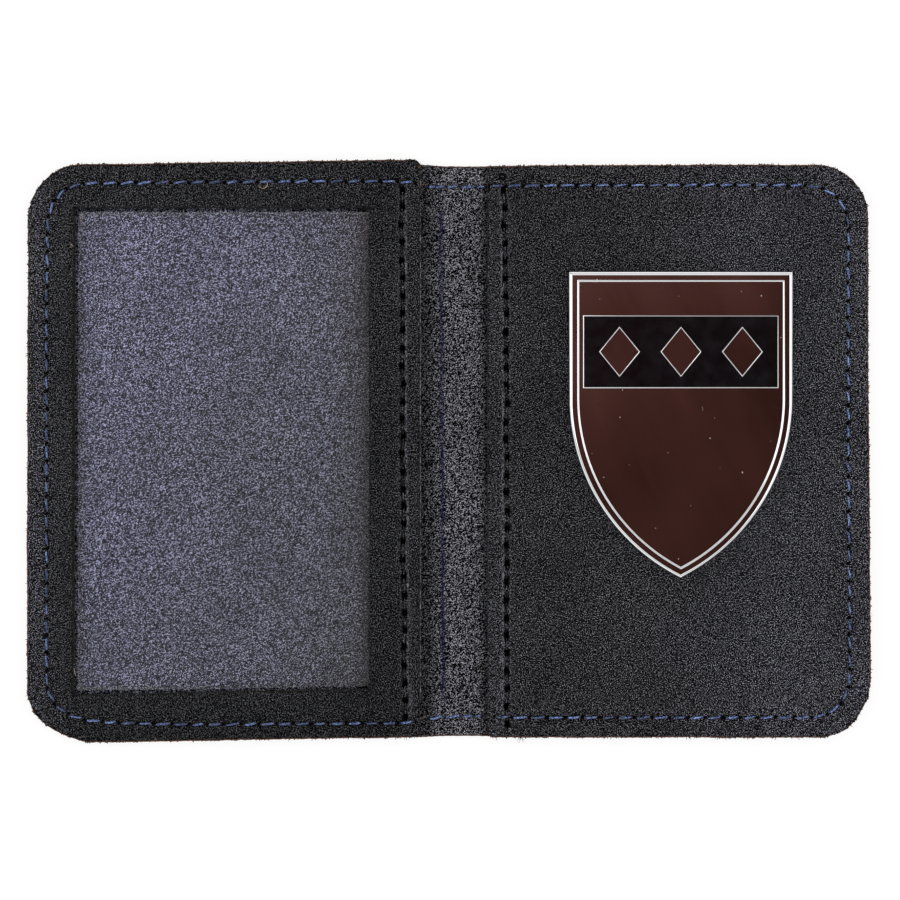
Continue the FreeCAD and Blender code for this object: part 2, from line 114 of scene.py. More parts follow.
def dress(tree, shader, values):
    for key, value in values.items():
        plug(tree, shader.inputs[key], value)


def grainNoise(tree, cells, turn=0.0, detail=2.0, rough=0.55, offset=(0.0, 0.0, 0.0), curl=0.0):
    # cells to the metre, one number for all axes or three
    cells = cells if isinstance(cells, tuple) else (cells, cells, cells)
    place = addNode(tree, "ShaderNodeTexCoord")
    mapped = addNode(tree, "ShaderNodeMapping", {"vector_type": "TEXTURE"}, Vector=place.outputs["Object"],
                     Location=offset, Rotation=(0.0, 0.0, math.radians(turn)), Scale=[1.0 / c for c in cells])
    made = addNode(tree, "ShaderNodeTexNoise", Vector=mapped.outputs["Vector"], Scale=1.0,
                   Detail=detail, Roughness=rough, Distortion=curl)
    return made.outputs["Fac"]


def maths(tree, operation, first, second):
    made = addNode(tree, "ShaderNodeMath", {"operation": operation}, in0=first, in1=second)
    return made.outputs["Value"]


def stepped(tree, factor, stops):
    made = addNode(tree, "ShaderNodeValToRGB", Fac=factor)
    ramp = made.color_ramp
    while len(ramp.elements) < len(stops):
        ramp.elements.new(0.5)
    for element, (place, shade) in zip(ramp.elements, stops):
        element.position = place
        element.color = (*shade, 1.0) if isinstance(shade, tuple) else (shade, shade, shade, 1.0)
    return made.outputs["Color"]


def mixed(tree, factor, first, second, blend="MIX"):
    first, second = [(*shade, 1.0) if isinstance(shade, tuple) else shade for shade in (first, second)]
    made = addNode(tree, "ShaderNodeMix", {"data_type": "RGBA", "blend_type": blend},
                   in0=factor, in6=first, in7=second)
    return made.outputs[2]


def tinted(tree, colour, tint):
    return mixed(tree, 1.0, colour, tint, "MULTIPLY")


def painted(tree, name):
    return addNode(tree, "ShaderNodeAttribute", {"attribute_name": name}).outputs["Fac"]


def raised(tree, shader, height, strength, distance):
    bump = addNode(tree, "ShaderNodeBump", Height=height, Strength=strength, Distance=distance)
    tree.links.new(bump.outputs["Normal"], shader.inputs["Normal"])


def broken(tree, mask, cells, low, high):
    # a painted mask with a ragged limit
    ragged = maths(tree, "MULTIPLY", maths(tree, "SUBTRACT", grainNoise(tree, cells), 0.5), 0.9)
    return stepped(tree, maths(tree, "ADD", mask, ragged), [(low, 0.0), (high, 1.0)])


def partlyClear(tree, shader, share, tint=(1.0, 1.0, 1.0, 1.0)):
    # the share of rays given goes straight through
    clear = addNode(tree, "ShaderNodeBsdfTransparent", Color=tint)
    both = addNode(tree, "ShaderNodeMixShader", in0=share, in1=shader.outputs["BSDF"],
                   in2=clear.outputs["BSDF"])
    tree.links.new(both.outputs["Shader"], tree.nodes["Material Output"].inputs["Surface"])


# black grain leather, drum dyed, with pale specks in its pores
grainShades = {
    "cells": (5600.0, 5600.0, 100.0),  # fine across the hide, slow through it
    "stops": ((0.440, 0.0001), (0.527, 0.004), (0.592, 0.050), (0.675, 0.260)),
    "tint": (1.0, 0.99, 1.05),
    "margin": (2.60, 2.62, 2.90),      # painted light: paler where side light falls on the hide
    # painted shade in the needle holes and along the black seam's groove
    "hole": (0.0006, 0.0006, 0.0008),
    "lip": (0.200, 0.200, 0.240),      # painted highlight on the leather pulled up beside the black thread
    "edge": (0.0060, 0.0050, 0.0048),  # painted shade where the leather turns down at the rim
}


def makeGrainLeather(name, gain, level):
    # the level sets off the specks, so that hides at two heights look alike
    finish, tree, shader = newFinish(name)
    specks = grainNoise(tree, grainShades["cells"], detail=1.0, rough=0.5, offset=(0.0, 0.0, level), curl=0.4)
    colour = stepped(tree, specks, [(place, shade * gain) for place, shade in grainShades["stops"]])
    colour = tinted(tree, colour, grainShades["tint"])
    patches = grainNoise(tree, 45.0, detail=3.0)
    colour = tinted(tree, colour, stepped(tree, patches, [(0.3, 0.78), (0.7, 1.20)]))
    # painted light: the hide is made paler where side light falls on it
    colour = mixed(tree, painted(tree, "margin"), colour, tinted(tree, colour, grainShades["margin"]))
    # painted highlight on the lips beside the black thread
    litLip = stepped(tree, grainNoise(tree, (4200.0, 2000.0, 4200.0)), [(0.47, 0.0), (0.63, 1.0)])
    litLip = maths(tree, "MULTIPLY", painted(tree, "lip"), litLip)
    colour = mixed(tree, litLip, colour, grainShades["lip"])
    # painted shade at the rims and a painted shadow beside the window, with a ragged limit
    turned = broken(tree, painted(tree, "turned"), 1900.0, 0.30, 0.75)
    colour = mixed(tree, turned, colour, grainShades["edge"])
    # painted shade in the needle holes and along the black seam's groove, with a ragged limit
    shadedHoles = broken(tree, painted(tree, "hole"), (2600.0, 1700.0, 2600.0), 0.34, 0.58)
    colour = mixed(tree, shadedHoles, colour, grainShades["hole"])
    dress(tree, shader, {"Base Color": colour, "Specular IOR Level": 0.03,
                         "Roughness": stepped(tree, specks, [(0.36, 0.75), (0.69, 0.55)])})
    raised(tree, shader, specks, strength=0.5, distance=0.06 * mm)
    return finish


# flesh side of the same hide, a short grey nap
napShades = {
    "cells": (5000.0, 8500.0, 3000.0),
    "slant": 30.0,
    "stops": ((0.440, 0.0002), (0.527, 0.012), (0.592, 0.155), (0.675, 0.800)),
    "tint": (1.0, 0.985, 1.12),
    "crease": (0.42, 0.42, 0.40),      # painted shadow beside the panels and along the window's right side
    "behind": (1.72, 1.75, 2.08),      # painted haze light: paler and bluer where seen through the vinyl
    "hazeGlow": (0.005, 0.006, 0.014),
    # painted shade in the needle holes
    "hole": (0.003, 0.003, 0.004),
    "cut": (0.055, 0.024, 0.017),
    "penLine": (0.006, 0.006, 0.032),
}


def makeNapLeather(name, gain, penLine):
    finish, tree, shader = newFinish(name)
    nap = grainNoise(tree, napShades["cells"], napShades["slant"], detail=0.0, offset=(0.3, 0.7, 0.0012))
    colour = stepped(tree, nap, [(place, shade * gain) for place, shade in napShades["stops"]])
    colour = tinted(tree, colour, napShades["tint"])
    patches = grainNoise(tree, (80.0, 60.0, 60.0), detail=3.0)
    colour = tinted(tree, colour, stepped(tree, patches, [(0.3, 0.85), (0.7, 1.15)]))
    # painted shadow
    colour = mixed(tree, painted(tree, "crease"), colour, tinted(tree, colour, napShades["crease"]))
    # the spine's nap carries the pen line and, under the window, the painted haze light of the vinyl
    if penLine:
        worn = stepped(tree, grainNoise(tree, (1400.0, 420.0, 1400.0)), [(0.36, 0.45), (0.54, 1.0)])
        ink = maths(tree, "MULTIPLY", painted(tree, "penLine"), worn)
        colour = mixed(tree, ink, colour, napShades["penLine"])
        # painted haze light: the nap under the window is made paler and bluer
        paler = mixed(tree, 1.0, tinted(tree, colour, napShades["behind"]), napShades["hazeGlow"], "ADD")
        colour = mixed(tree, painted(tree, "behind"), colour, paler)
    colour = mixed(tree, maths(tree, "MULTIPLY", painted(tree, "edge"), 0.55), colour, napShades["cut"])
    # painted shade in the needle holes
    colour = mixed(tree, painted(tree, "hole"), colour, napShades["hole"])
    dress(tree, shader, {"Base Color": colour, "Specular IOR Level": 0.03,
                         "Sheen Weight": 0.03, "Sheen Roughness": 0.5,
                         "Roughness": stepped(tree, nap, [(0.3, 0.95), (0.8, 0.8)])})
    raised(tree, shader, nap, strength=0.7, distance=0.10 * mm)
    return finish


# raw brown fibres round the outside, dyed black at the mouth and the window
edgeShades = {
    "raw": ((0.30, (0.024, 0.010, 0.006)), (0.50, (0.130, 0.050, 0.028)), (0.72, (0.330, 0.155, 0.095))),
    "dyed": ((0.32, 0.002), (0.52, 0.017), (0.72, 0.065)),
}


def makeCutEdge():
    finish, tree, shader = newFinish("cutEdge")
    fibres = grainNoise(tree, (2600.0, 2600.0, 5200.0), detail=3.0)
    raw, dyed = stepped(tree, fibres, edgeShades["raw"]), stepped(tree, fibres, edgeShades["dyed"])
    dress(tree, shader, {"Base Color": mixed(tree, painted(tree, "edge"), dyed, raw),
                         "Roughness": stepped(tree, fibres, [(0.3, 0.95), (0.8, 0.75)]),
                         "Specular IOR Level": 0.15})
    raised(tree, shader, fibres, strength=0.8, distance=0.12 * mm)
    return finish


# twisted sewing thread: the plies run slantwise round it, with a painted highlight on their crests and
# painted shade in their hollows; the black thread's pale stop is a painted glint
threadShades = {
    "blueThread": ((0.36, (0.003, 0.006, 0.030)), (0.51, (0.045, 0.080, 0.270)),
                   (0.68, (0.420, 0.580, 1.000))),
    "blackThread": ((0.42, (0.001, 0.001, 0.002)), (0.60, (0.006, 0.006, 0.008)),
                    (0.74, (0.480, 0.480, 0.520))),
}


def makeThread(name, gloss):
    finish, tree, shader = newFinish(name)
    along = addNode(tree, "ShaderNodeUVMap", {"uv_map": "twist"})
    slant = addNode(tree, "ShaderNodeMapping", Vector=along.outputs["UV"],
                    Rotation=(0.0, 0.0, math.radians(-32.0)), Scale=(4.2, 2.0, 1.0))
    plies = addNode(tree, "ShaderNodeTexWave", {"wave_type": "BANDS", "bands_direction": "X"},
                    Vector=slant.outputs["Vector"], Scale=1.0, Distortion=1.2, Detail=2.0)
    fuzz = grainNoise(tree, 3600.0)
    height = maths(tree, "ADD", maths(tree, "MULTIPLY", plies.outputs["Fac"], 0.35), fuzz)
    # painted highlight and shade: the colour follows the height of the plies
    colour = stepped(tree, maths(tree, "MULTIPLY", height, 0.75), threadShades[name])
    worn = stepped(tree, painted(tree, "shade"), [(0.0, 0.4), (1.0, 1.3)])
    dress(tree, shader, {"Base Color": tinted(tree, colour, worn), "Specular IOR Level": gloss,
                         "Roughness": stepped(tree, fuzz, [(0.3, 0.42), (0.7, 0.62)])})
    raised(tree, shader, height, strength=0.6, distance=0.09 * mm)
    return finish


# polished plate, with faint hand rubbing and a little dust
def makePolishedMetal(name, colour, smoothest, roughest):
    finish, tree, shader = newFinish(name)
    rubbing = grainNoise(tree, (700.0, 90.0, 400.0), 28.0, detail=4.0)
    dust = stepped(tree, grainNoise(tree, 1500.0, detail=1.0), [(0.770, 0.0), (0.800, 0.45)])
    duller = tuple(c * 0.96 for c in colour)
    rough = stepped(tree, rubbing, [(0.3, smoothest), (0.75, roughest)])
    dress(tree, shader, {"Metallic": 1.0,
                         "Base Color": stepped(tree, rubbing, [(0.3, duller), (0.7, colour)]),
                         "Roughness": maths(tree, "MAXIMUM", rough, dust)})
    raised(tree, shader, rubbing, strength=0.03, distance=0.03 * mm)
    return finish


def makeEnamel():
    finish, tree, shader = newFinish("blackEnamel")
    cloud = grainNoise(tree, 420.0, detail=3.0)
    shades = [(0.3, (0.002, 0.002, 0.003)), (0.7, (0.006, 0.006, 0.008))]
    dress(tree, shader, {"Base Color": stepped(tree, cloud, shades),
                         "Roughness": stepped(tree, cloud, [(0.3, 0.10), (0.7, 0.20)]),
                         "Coat Weight": 0.6, "Coat Roughness": 0.06})
    raised(tree, shader, cloud, strength=0.05, distance=0.05 * mm)
    return finish


# clear soft vinyl, a little wavy, that lets the lamps through
def makeWindowVinyl():
    finish, tree, shader = newFinish("windowVinyl")
    waves = grainNoise(tree, (60.0, 40.0, 40.0), 20.0)
    dress(tree, shader, {"Base Color": (0.900, 0.910, 0.963, 1.0), "Transmission Weight": 1.0, "IOR": 1.45,
                         "Roughness": stepped(tree, waves, [(0.3, 0.03), (0.7, 0.10)])})
    rays = addNode(tree, "ShaderNodeLightPath")
    partlyClear(tree, shader, rays.outputs["Is Shadow Ray"], (0.93, 0.935, 0.96, 1.0))
    return finish


def makeFuzz(name, cells, stops):
    finish, tree, shader = newFinish(name)
    fleck = grainNoise(tree, cells)
    dress(tree, shader, {"Base Color": stepped(tree, fleck, stops),
                         "Roughness": stepped(tree, fleck, [(0.3, 0.8), (0.7, 0.5)])})
    return finish


windowGrain = makeGrainLeather("windowGrain", gain=0.56, level=0.0041)
badgeGrain = makeGrainLeather("badgeGrain", gain=0.55, level=0.0041)
coverGrain = makeGrainLeather("coverGrain", gain=0.60, level=0.0)
spineNap = makeNapLeather("spineNap", gain=0.47, penLine=True)
panelNap = makeNapLeather("panelNap", gain=0.43, penLine=False)
cutEdge = makeCutEdge()
blueThread = makeThread("blueThread", gloss=0.25)
blackThread = makeThread("blackThread", gloss=0.08)
emblemMetal = makePolishedMetal("emblemMetal", (0.86, 0.86, 0.87), smoothest=0.03, roughest=0.10)
fixingSteel = makePolishedMetal("fixingSteel", (0.55, 0.55, 0.56), smoothest=0.25, roughest=0.45)
blackEnamel = makeEnamel()
windowVinyl = makeWindowVinyl()
# painted highlight: the vinyl's cut edge at the mouth is a pale grey line
vinylEdgeHighlight = makeFuzz("vinylEdgeHighlight", 1500.0, [(0.44, (0.006, 0.006, 0.006)), (0.53, (0.055, 0.055, 0.056)),
                                           (0.66, (0.230, 0.230, 0.235))])
paleFibre = makeFuzz("paleFibre", 2200.0, [(0.30, (0.110, 0.075, 0.050)), (0.52, (0.420, 0.310, 0.220)),
                                           (0.70, (0.800, 0.640, 0.480))])
print("finishes made")


# sheets of hide are cut flat in millimetres, one unit thick, and then formed
def flatSheet(left, right, low, high, cell):
    bm = bmesh.new()
    bmesh.ops.create_grid(bm, x_segments=round((right - left) / cell),
                          y_segments=round((high - low) / cell), size=0.5)
    bmesh.ops.scale(bm, verts=bm.verts, vec=(right - left, high - low, 1.0))
    bmesh.ops.translate(bm, verts=bm.verts, vec=((left + right) / 2, (low + high) / 2, 0.0))
    return bm


def cutAlong(bm, point, normal, clear=False):
    bmesh.ops.bisect_plane(bm, geom=bm.verts[:] + bm.edges[:] + bm.faces[:], dist=0.03,
                           plane_co=(*point, 0.0), plane_no=(*normal, 0.0), clear_outer=clear)


def roundCorner(bm, tip, sides, radii, chops=8):
    for chop in range(chops):
        turn = math.radians(90.0 * (chop + 0.5) / chops)
        across, up = math.cos(turn), math.sin(turn)
        point = (tip[0] - sides[0] * radii[0] * (1.0 - across), tip[1] - sides[1] * radii[1] * (1.0 - up))
        normal = Vector((sides[0] * across / radii[0], sides[1] * up / radii[1])).normalized()
        cutAlong(bm, point, normal, True)


def chopCorner(bm, points):
    # straight cuts of a knife from one point to the next
    for start, end in zip(points, points[1:]):
        normal = Vector((end[1] - start[1], start[0] - end[0])).normalized()
        if normal.dot(Vector(start)) < 0:
            normal.negate()
        cutAlong(bm, start, normal, True)


def nearby(points):
    tree = kdtree.KDTree(len(points))
    for index, point in enumerate(points):
        tree.insert((point[0], point[1], 0.0), index)
    tree.balance()
    return tree


def away(tree, x, y):
    return tree.find((x, y, 0.0))[2]


def dotted(points, step):
    dots = []
    for start, end in zip(points, points[1:]):
        start, end = Vector(start[:2]), Vector(end[:2])
        count = max(1, math.ceil((end - start).length / step))
        dots += [start.lerp(end, i / count) for i in range(count)]
    return dots + [Vector(points[-1][:2])]


def rimOf(bm):
    dots = []
    for edge in bm.edges:
        if edge.is_boundary:
            dots += dotted([v.co for v in edge.verts], 0.3)
    return nearby(dots)


def refine(bm, wanted, cuts):
    chosen = [f for f in bm.faces if wanted(f.calc_center_median())]
    edges = list({e for f in chosen for e in f.edges if e.calc_length() > 0.25})
    bmesh.ops.subdivide_edges(bm, edges=edges, cuts=cuts, use_grid_fill=True)


topFinish, underFinish, wallFinish = range(3)      # places of a hide's three finishes


def thicken(bm, wallCuts):
    lifted = bmesh.ops.extrude_face_region(bm, geom=bm.faces[:])["geom"]
    bmesh.ops.translate(bm, verts=[g for g in lifted if isinstance(g, bmesh.types.BMVert)],
                        vec=(0.0, 0.0, 1.0))
    walls = [e for e in bm.edges if abs(e.verts[0].co.z - e.verts[1].co.z) > 0.5]
    bmesh.ops.subdivide_edges(bm, edges=walls, cuts=wallCuts)
    bmesh.ops.triangulate(bm, faces=[f for f in bm.faces if len(f.verts) > 4])
    bmesh.ops.recalc_face_normals(bm, faces=bm.faces[:])
    for face in bm.faces:
        levels = [v.co.z for v in face.verts]
        onTop, below = min(levels) > 0.99, max(levels) < 0.01
        face.material_index = topFinish if onTop else underFinish if below else wallFinish
        face.smooth = True


def finishPiece(name, bm, finishes):
    bmesh.ops.scale(bm, verts=bm.verts, vec=(mm, mm, mm))
    mesh = bpy.data.meshes.new(name)
    bm.to_mesh(mesh)
    bm.free()
    piece = bpy.data.objects.new(name, mesh)
    for finish in finishes:
        mesh.materials.append(finish)
    scene.collection.objects.link(piece)
    print(name, len(mesh.polygons), "faces")
    return piece


# needle holes of every seam, in order along each line
sewing = {
    "blue": {"pitch": 3.0, "wander": 0.10},
    "black": {"pitch": 3.04, "wander": 0.16, "sway": 0.18},
    "left": [(-5.7, 45.75), (-8.5, 46.0), (-22.0, 46.05), (-45.0, 45.85), (-60.0, 45.70), (-62.6, 45.70),
             (-64.0, 45.35), (-65.2, 44.8), (-66.3, 43.9), (-67.2, 42.9), (-68.0, 41.5), (-68.35, 40.0),
             (-68.45, 36.0), (-68.65, 20.0), (-68.6, 0.0), (-68.6, -25.0), (-68.6, -40.0), (-68.35, -41.3),
             (-67.8, -42.5), (-66.8, -43.7), (-65.7, -44.6), (-64.4, -45.3), (-63.4, -45.65),
             (-61.4, -45.95), (-58.5, -46.3), (-55.6, -46.45), (-44.0, -46.7), (-20.0, -46.55),
             (-7.5, -46.45), (-5.6, -46.2)],
    "right": [(6.8, 45.25), (20.0, 45.35), (45.0, 45.4), (60.0, 45.4), (62.2, 45.3), (64.2, 44.8),
              (65.9, 43.8), (67.2, 42.3), (68.0, 40.6), (68.3, 38.5), (68.25, 34.0), (68.25, 0.0),
              (68.5, -33.5), (68.5, -38.0), (68.25, -40.6), (67.6, -42.4), (66.5, -43.8), (65.2, -44.7),
              (63.7, -45.35), (61.5, -45.5), (40.0, -45.5), (12.0, -45.5), (7.8, -45.35)],
    "spineTop": [(-3.5, 45.3), (-2.2, 45.25), (-0.5, 45.25), (1.9, 45.25), (4.76, 45.25), (6.45, 45.25)],
    "spineBottom": [(-3.4, -45.85), (-0.8, -45.6), (2.13, -45.45), (4.4, -45.4), (5.9, -45.35)],
    "windowEdge": [(-7.97, 44.5), (-7.77, 0.0), (-7.42, -45.4)],
    "badgeEdge": [(9.42, 44.5), (9.72, 25.0), (9.90, 0.0), (10.0, -46.6)],
}


def needleHoles(points, pitch, wander, sway=0.0):
    line = [Vector((*p, 0.0)) for p in points]
    runs = [(a, b, (b - a).length) for a, b in zip(line, line[1:])]
    total = sum(run for a, b, run in runs)
    count = round(total / pitch)
    holes = []
    for index in range(count + 1):
        along = total * index / count
        if 0 < index < count:
            along += random.uniform(-wander, wander)
        for a, b, run in runs:
            if along <= run:
                break
            along -= run
        else:
            along = run
        holes.append(a.lerp(b, along / run) + Vector((random.uniform(-sway, sway), 0.0, 0.0)))
    return holes


leftHoles = needleHoles(sewing["left"], **sewing["blue"])
rightHoles = needleHoles(sewing["right"], **sewing["blue"])
windowEdgeHoles = needleHoles(sewing["windowEdge"], **sewing["black"])
badgeEdgeHoles = needleHoles(sewing["badgeEdge"], **sewing["black"])
spineTopHoles = [Vector((*p, 0.0)) for p in sewing["spineTop"]]
spineBottomHoles = [Vector((*p, 0.0)) for p in sewing["spineBottom"]]
print("seams marked,", len(leftHoles) + len(rightHoles), "holes round the halves")


def seamTrees(*rows, squeeze=1.0):
    # a squeeze under 1 makes the needle holes long in the spine's direction
    lines = nearby([dot for row in rows for dot in dotted(row, 0.2)])
    return lines, nearby([(hole.x, hole.y * squeeze) for row in rows for hole in row]), squeeze


# the hides of both halves, cut by hand
hide = {
    "halfWidth": 72.0,
    "reach": 49.0,
    "corner": 9.0,                    # radius that an inset is measured with
    "cell": 0.9,
    "fine": (0.9, 1.1),               # finer cells this near a rim, and this near a seam
    "wave": {"depth": 0.10, "long": 7.0, "short": 1.7, "band": 1.6},    # left by the knife
    "fray": (0.10, 0.55),             # depth and size
    "rim": 0.30,                      # radius of the worn edges
    "outerRim": 0.9,                  # nearer the sides than this is the outer rim
    "bulge": (0.26, 0.10),            # of the outer walls and of the inner ones
    "ends": (41.8, 7.2),              # where the skew of the two ends starts, and its run
    "sides": (48.0, 22.0),            # the same for the lean of the outer sides
    "skew": (-64.0, 58.0),            # the left half's ends shift from this x on, over this run
    "leftLean": 0.0028,
    "rightLean": (0.0225, -0.00584),  # at the middle, and for each mm up
    "rightDent": (0.14, 8.0, 24.0),   # depth, middle and width
    "corners": {                      # each one a little different
        "upperLeft": (9.1, 9.7), "upperRight": (9.2, 8.8),
        "lowerLeft": ((-72.05, -41.55), (-70.90, -44.41), (-68.97, -46.06), (-67.08, -47.09),
                      (-65.02, -47.97), (-62.11, -48.91)),
        "lowerRight": ((72.0, -38.6), (71.47, -42.2), (69.2, -46.1), (67.75, -47.5), (66.3, -48.2),
                       (64.4, -48.9)),
    },
}
halfWidth, reach = hide["halfWidth"], hide["reach"]
nearRim, nearSeam = hide["fine"]


def insetFromSides(x, y):
    across, up = halfWidth - abs(x), reach - abs(y)
    corner = hide["corner"]
    if across < corner and up < corner:
        return corner - math.hypot(corner - across, corner - up)
    return min(across, up)


def endShare(y):
    start, run = hide["ends"]
    return smoothStep((abs(y) - start) / run)


def sideShare(x):
    start, run = hide["sides"]
    return smoothStep((abs(x) - start) / run)


def leftSkew(x, y, topShift, bottomShift):
    start, run = hide["skew"]
    toSpine = clamped((x - start) / run, 0.0, 1.0)
    outer, inner = bottomShift if y < 0 else topShift
    lean = hide["leftLean"] * y * sideShare(x)
    return x + lean, y + (outer + (inner - outer) * toSpine) * endShare(y)


def formHide(bm, seed, place, top, bottom, marks, cap=None):
    # place moves a point of the flat cut, top and bottom give the two faces, marks the painted values,
    # and cap is the x of a cut that has no rim
    names = ("margin", "hole", "lip", "edge", "turned", "penLine", "crease", "behind")
    layers = {name: bm.verts.layers.float.new(name) for name in names}
    bm.normal_update()

    def capped(vert):
        return cap is not None and abs(vert.co.x - cap) < 0.01

    rimVerts = set()
    for face in bm.faces:
        if face.material_index != wallFinish:
            continue
        if not all(capped(v) for v in face.verts):
            rimVerts.update(face.verts)
            continue
        face.material_index = topFinish
        for edge in face.edges:
            edge.smooth = False
    spots = {v: place(v.co.x, v.co.y) for v in bm.verts}
    rim = nearby([spots[v] for v in rimVerts])
    wave, (frayDepth, fraySize) = hide["wave"], hide["fray"]
    for vert, (x, y) in spots.items():
        level = vert.co.z
        near, index, inset = rim.find((x, y, 0.0))
        if vert in rimVerts:
            inset = 0.0
            out = Vector((0.0 if capped(vert) else vert.normal.x, vert.normal.y, 0.0))
            out = out.normalized() if out.length > 0.01 else Vector((0.0, 0.0, 0.0))
        else:
            out = (near - Vector((x, y, 0.0))) / max(inset, 1e-6)
        push = wave["depth"] * ripple(near.x, near.y, wave["long"], seed)
        push += 0.5 * wave["depth"] * ripple(near.x, near.y, wave["short"], seed + 1)
        push *= max(0.0, 1.0 - inset / wave["band"])
        if vert in rimVerts:
            bulge = hide["bulge"][0 if insetFromSides(x, y) < hide["outerRim"] else 1]
            push += bulge * (math.sin(math.pi * level) - 0.87)
            push += frayDepth * ripple(near.x, near.y + 5.0 * level, fraySize, seed + 2)
        toRim = 1.0 - min(1.0, inset / hide["rim"])
        drop = hide["rim"] * (1.0 - math.sqrt(max(0.0, 1.0 - toRim * toRim)))
        low = bottom(x, y) + 0.35 * drop
        high = top(x, y) - 0.8 * drop
        for name, value in marks(x, y, inset, level).items():
            vert[layers[name]] = value
        vert.co = Vector((x, y, low + (high - low) * level)) + out * push
    bmesh.ops.recalc_face_normals(bm, faces=bm.faces[:])
    return [(v.co.copy(), insetFromSides(*spots[v])) for v in rimVerts]


# loose fibres that stand out from a cut edge, a few faces each, away from a box or towards it
fray = {
    "outer": {"count": 620, "length": (0.22, 0.46), "radius": (0.05, 0.22), "raw": 0.40,
              "box": ((-63.0, 63.0), (-40.0, 40.0)), "towards": -1.0},
    "inner": {"count": 560, "length": (0.15, 0.50), "radius": (0.03, 0.10), "raw": 0.0,
              "box": ((-59.0, -18.0), (-36.0, 37.0)), "towards": 1.0},
}


def addFray(name, kind, body, roots):
    fibres = fray[kind]
    across, up = fibres["box"]
    bm = bmesh.new()
    raw = bm.verts.layers.float.new("edge")
    roots.sort(key=lambda p: (round(p.x, 3), round(p.y, 3), round(p.z, 3)))
    for root in random.sample(roots, min(len(roots), fibres["count"])):
        inBox = Vector((clamped(root.x, *across), clamped(root.y, *up), root.z))
        out = ((inBox - root) * fibres["towards"]).normalized()
        out = (out + Vector([random.uniform(-0.7, 0.7) for axis in range(3)]) * 0.6).normalized()
        thick = random.uniform(*fibres["radius"])
        long = random.uniform(*fibres["length"]) * (1.2 if thick < 0.08 else 0.6)
        place = Matrix.Translation(root) @ out.to_track_quat("Z", "Y").to_matrix().to_4x4()
        place @= Matrix.Translation((0.0, 0.0, long / 2 - 0.06))
        made = bmesh.ops.create_cone(bm, cap_ends=True, segments=4, radius1=thick, radius2=thick * 0.4,
                                     depth=long, matrix=place)
        tone = 1.0 if random.random() < fibres["raw"] else 0.0
        for vert in made["verts"]:
            vert[raw] = tone
    piece = finishPiece(name, bm, [cutEdge])
    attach(piece, body)


# window panel: the frame of the left half, sewn on three sides and open at the spine
windowCut = {
    "mouth": -4.85,
    "mouthCorners": (1.3, 0.6),    # radii of the upper and the lower one
    "thick": 1.3,
    "seat": 1.43,            # underside where it is sewn down
    "raised": 3.0,           # underside over the pocket
    "rise": (4.0, 8.6),      # how far in from the edge it lifts
    "window": (-63.63, -13.58, 41.34, -41.5, -40.5),    # left, right, top, both ends of the bottom
    "topShift": (-0.01, 0.86),
    "bottomShift": (-0.90, 0.05),
}


def windowPlace(x, y):
    return leftSkew(x, y, windowCut["topShift"], windowCut["bottomShift"])


def windowFloor(x):
    left, right, high, lowLeft, lowRight = windowCut["window"]
    return lowLeft + (lowRight - lowLeft) * (x - left) / (right - left)


def pocketLift(x, y, cut):
    start, end = cut["rise"]
    share = smoothStep((insetFromSides(x, y) - start) / (end - start))
    return cut["seat"] + (cut["raised"] - cut["seat"]) * share


def windowUnder(x, y):
    return pocketLift(x, y, windowCut) + 0.05 * ripple(x, y, 9.0, 3)


# how a stitched line draws the leather in: groove, needle pits and the lips beside them, with the weights of
# the painted shade in the pits and the painted highlight on the lips
blueDraw = {"groove": (0.12, 0.50), "pit": (0.55, 0.38), "lip": (0.06, 0.70, 0.20), "dark": 0.35}
blackDraw = {"groove": (0.26, 0.24), "pit": (0.80, 0.48), "lip": (0.12, 0.60, 0.16), "dark": 0.58,
             "squeeze": 0.55}


def pressed(x, y, trees, draw):
    lines, holes, squeeze = trees
    fromLine, fromHole = away(lines, x, y), away(holes, x, y * squeeze)
    if fromLine > 2.0:
        return 0.0, 0.0, 0.0
    lip = hump(fromLine - draw["lip"][1], draw["lip"][2])
    depth = draw["groove"][0] * hump(fromLine, draw["groove"][1])
    depth += draw["pit"][0] * hump(fromHole, draw["pit"][1]) - draw["lip"][0] * lip
    return depth, hump(fromHole, draw["dark"]), lip


# painted light on each half, paler where side light falls: strokes that add their strength from a distance
# on, over a run
paintedLightStrokes = {
    "left": {"ground": 0.14, "outer": 0.45, "top": (0.04, 38.0, 6.0), "bottom": (-0.12, 44.0, 3.0),
             "mouth": (0.13, -8.2, 1.2), "side": (0.22, 63.0, 3.0)},
    "right": {"ground": 0.30, "outer": 0.14, "top": (0.11, 12.0, 20.0), "bottom": (0.15, 20.0, 15.0),
              "mouth": (0.15, -12.0, 3.0), "side": (0.38, 28.0, 28.0)},
}


def stroke(distance, strength, start, run):
    return strength * smoothStep((distance - start) / run)


def paintedLightAt(x, y):
    # painted light: palest along the outer sides and towards the right
    pale = paintedLightStrokes["left" if x < 0 else "right"]
    outer = 1.0 - smoothStep((halfWidth - abs(x) - 2.6) / 1.4)
    outer *= smoothStep((46.5 - abs(y)) / 5.0)
    top, bottom = stroke(y, *pale["top"]), stroke(-y, *pale["bottom"])
    if x >= 0:
        top *= smoothStep((x - 14.0) / 20.0)
        bottom *= smoothStep((46.0 - abs(y)) / 1.5)
    across = stroke(-abs(x), *pale["mouth"]) + stroke(abs(x), *pale["side"])
    return pale["ground"] + across + top + bottom + pale["outer"] * outer


def paintedRimShade(x, y, inset, side):
    # painted shade: dark at the outer rim, and a painted shadow along the window's left side, fainter along
    # its top
    if side < 1.2:
        return 1.0 - smoothStep(inset / 0.5)
    if -66.0 < x < -63.0:
        return 0.6 - 0.6 * smoothStep(inset / 0.9)
    return 0.4 - 0.4 * smoothStep(inset / 0.6) if y > 40.8 and x < -13.0 else 0.0


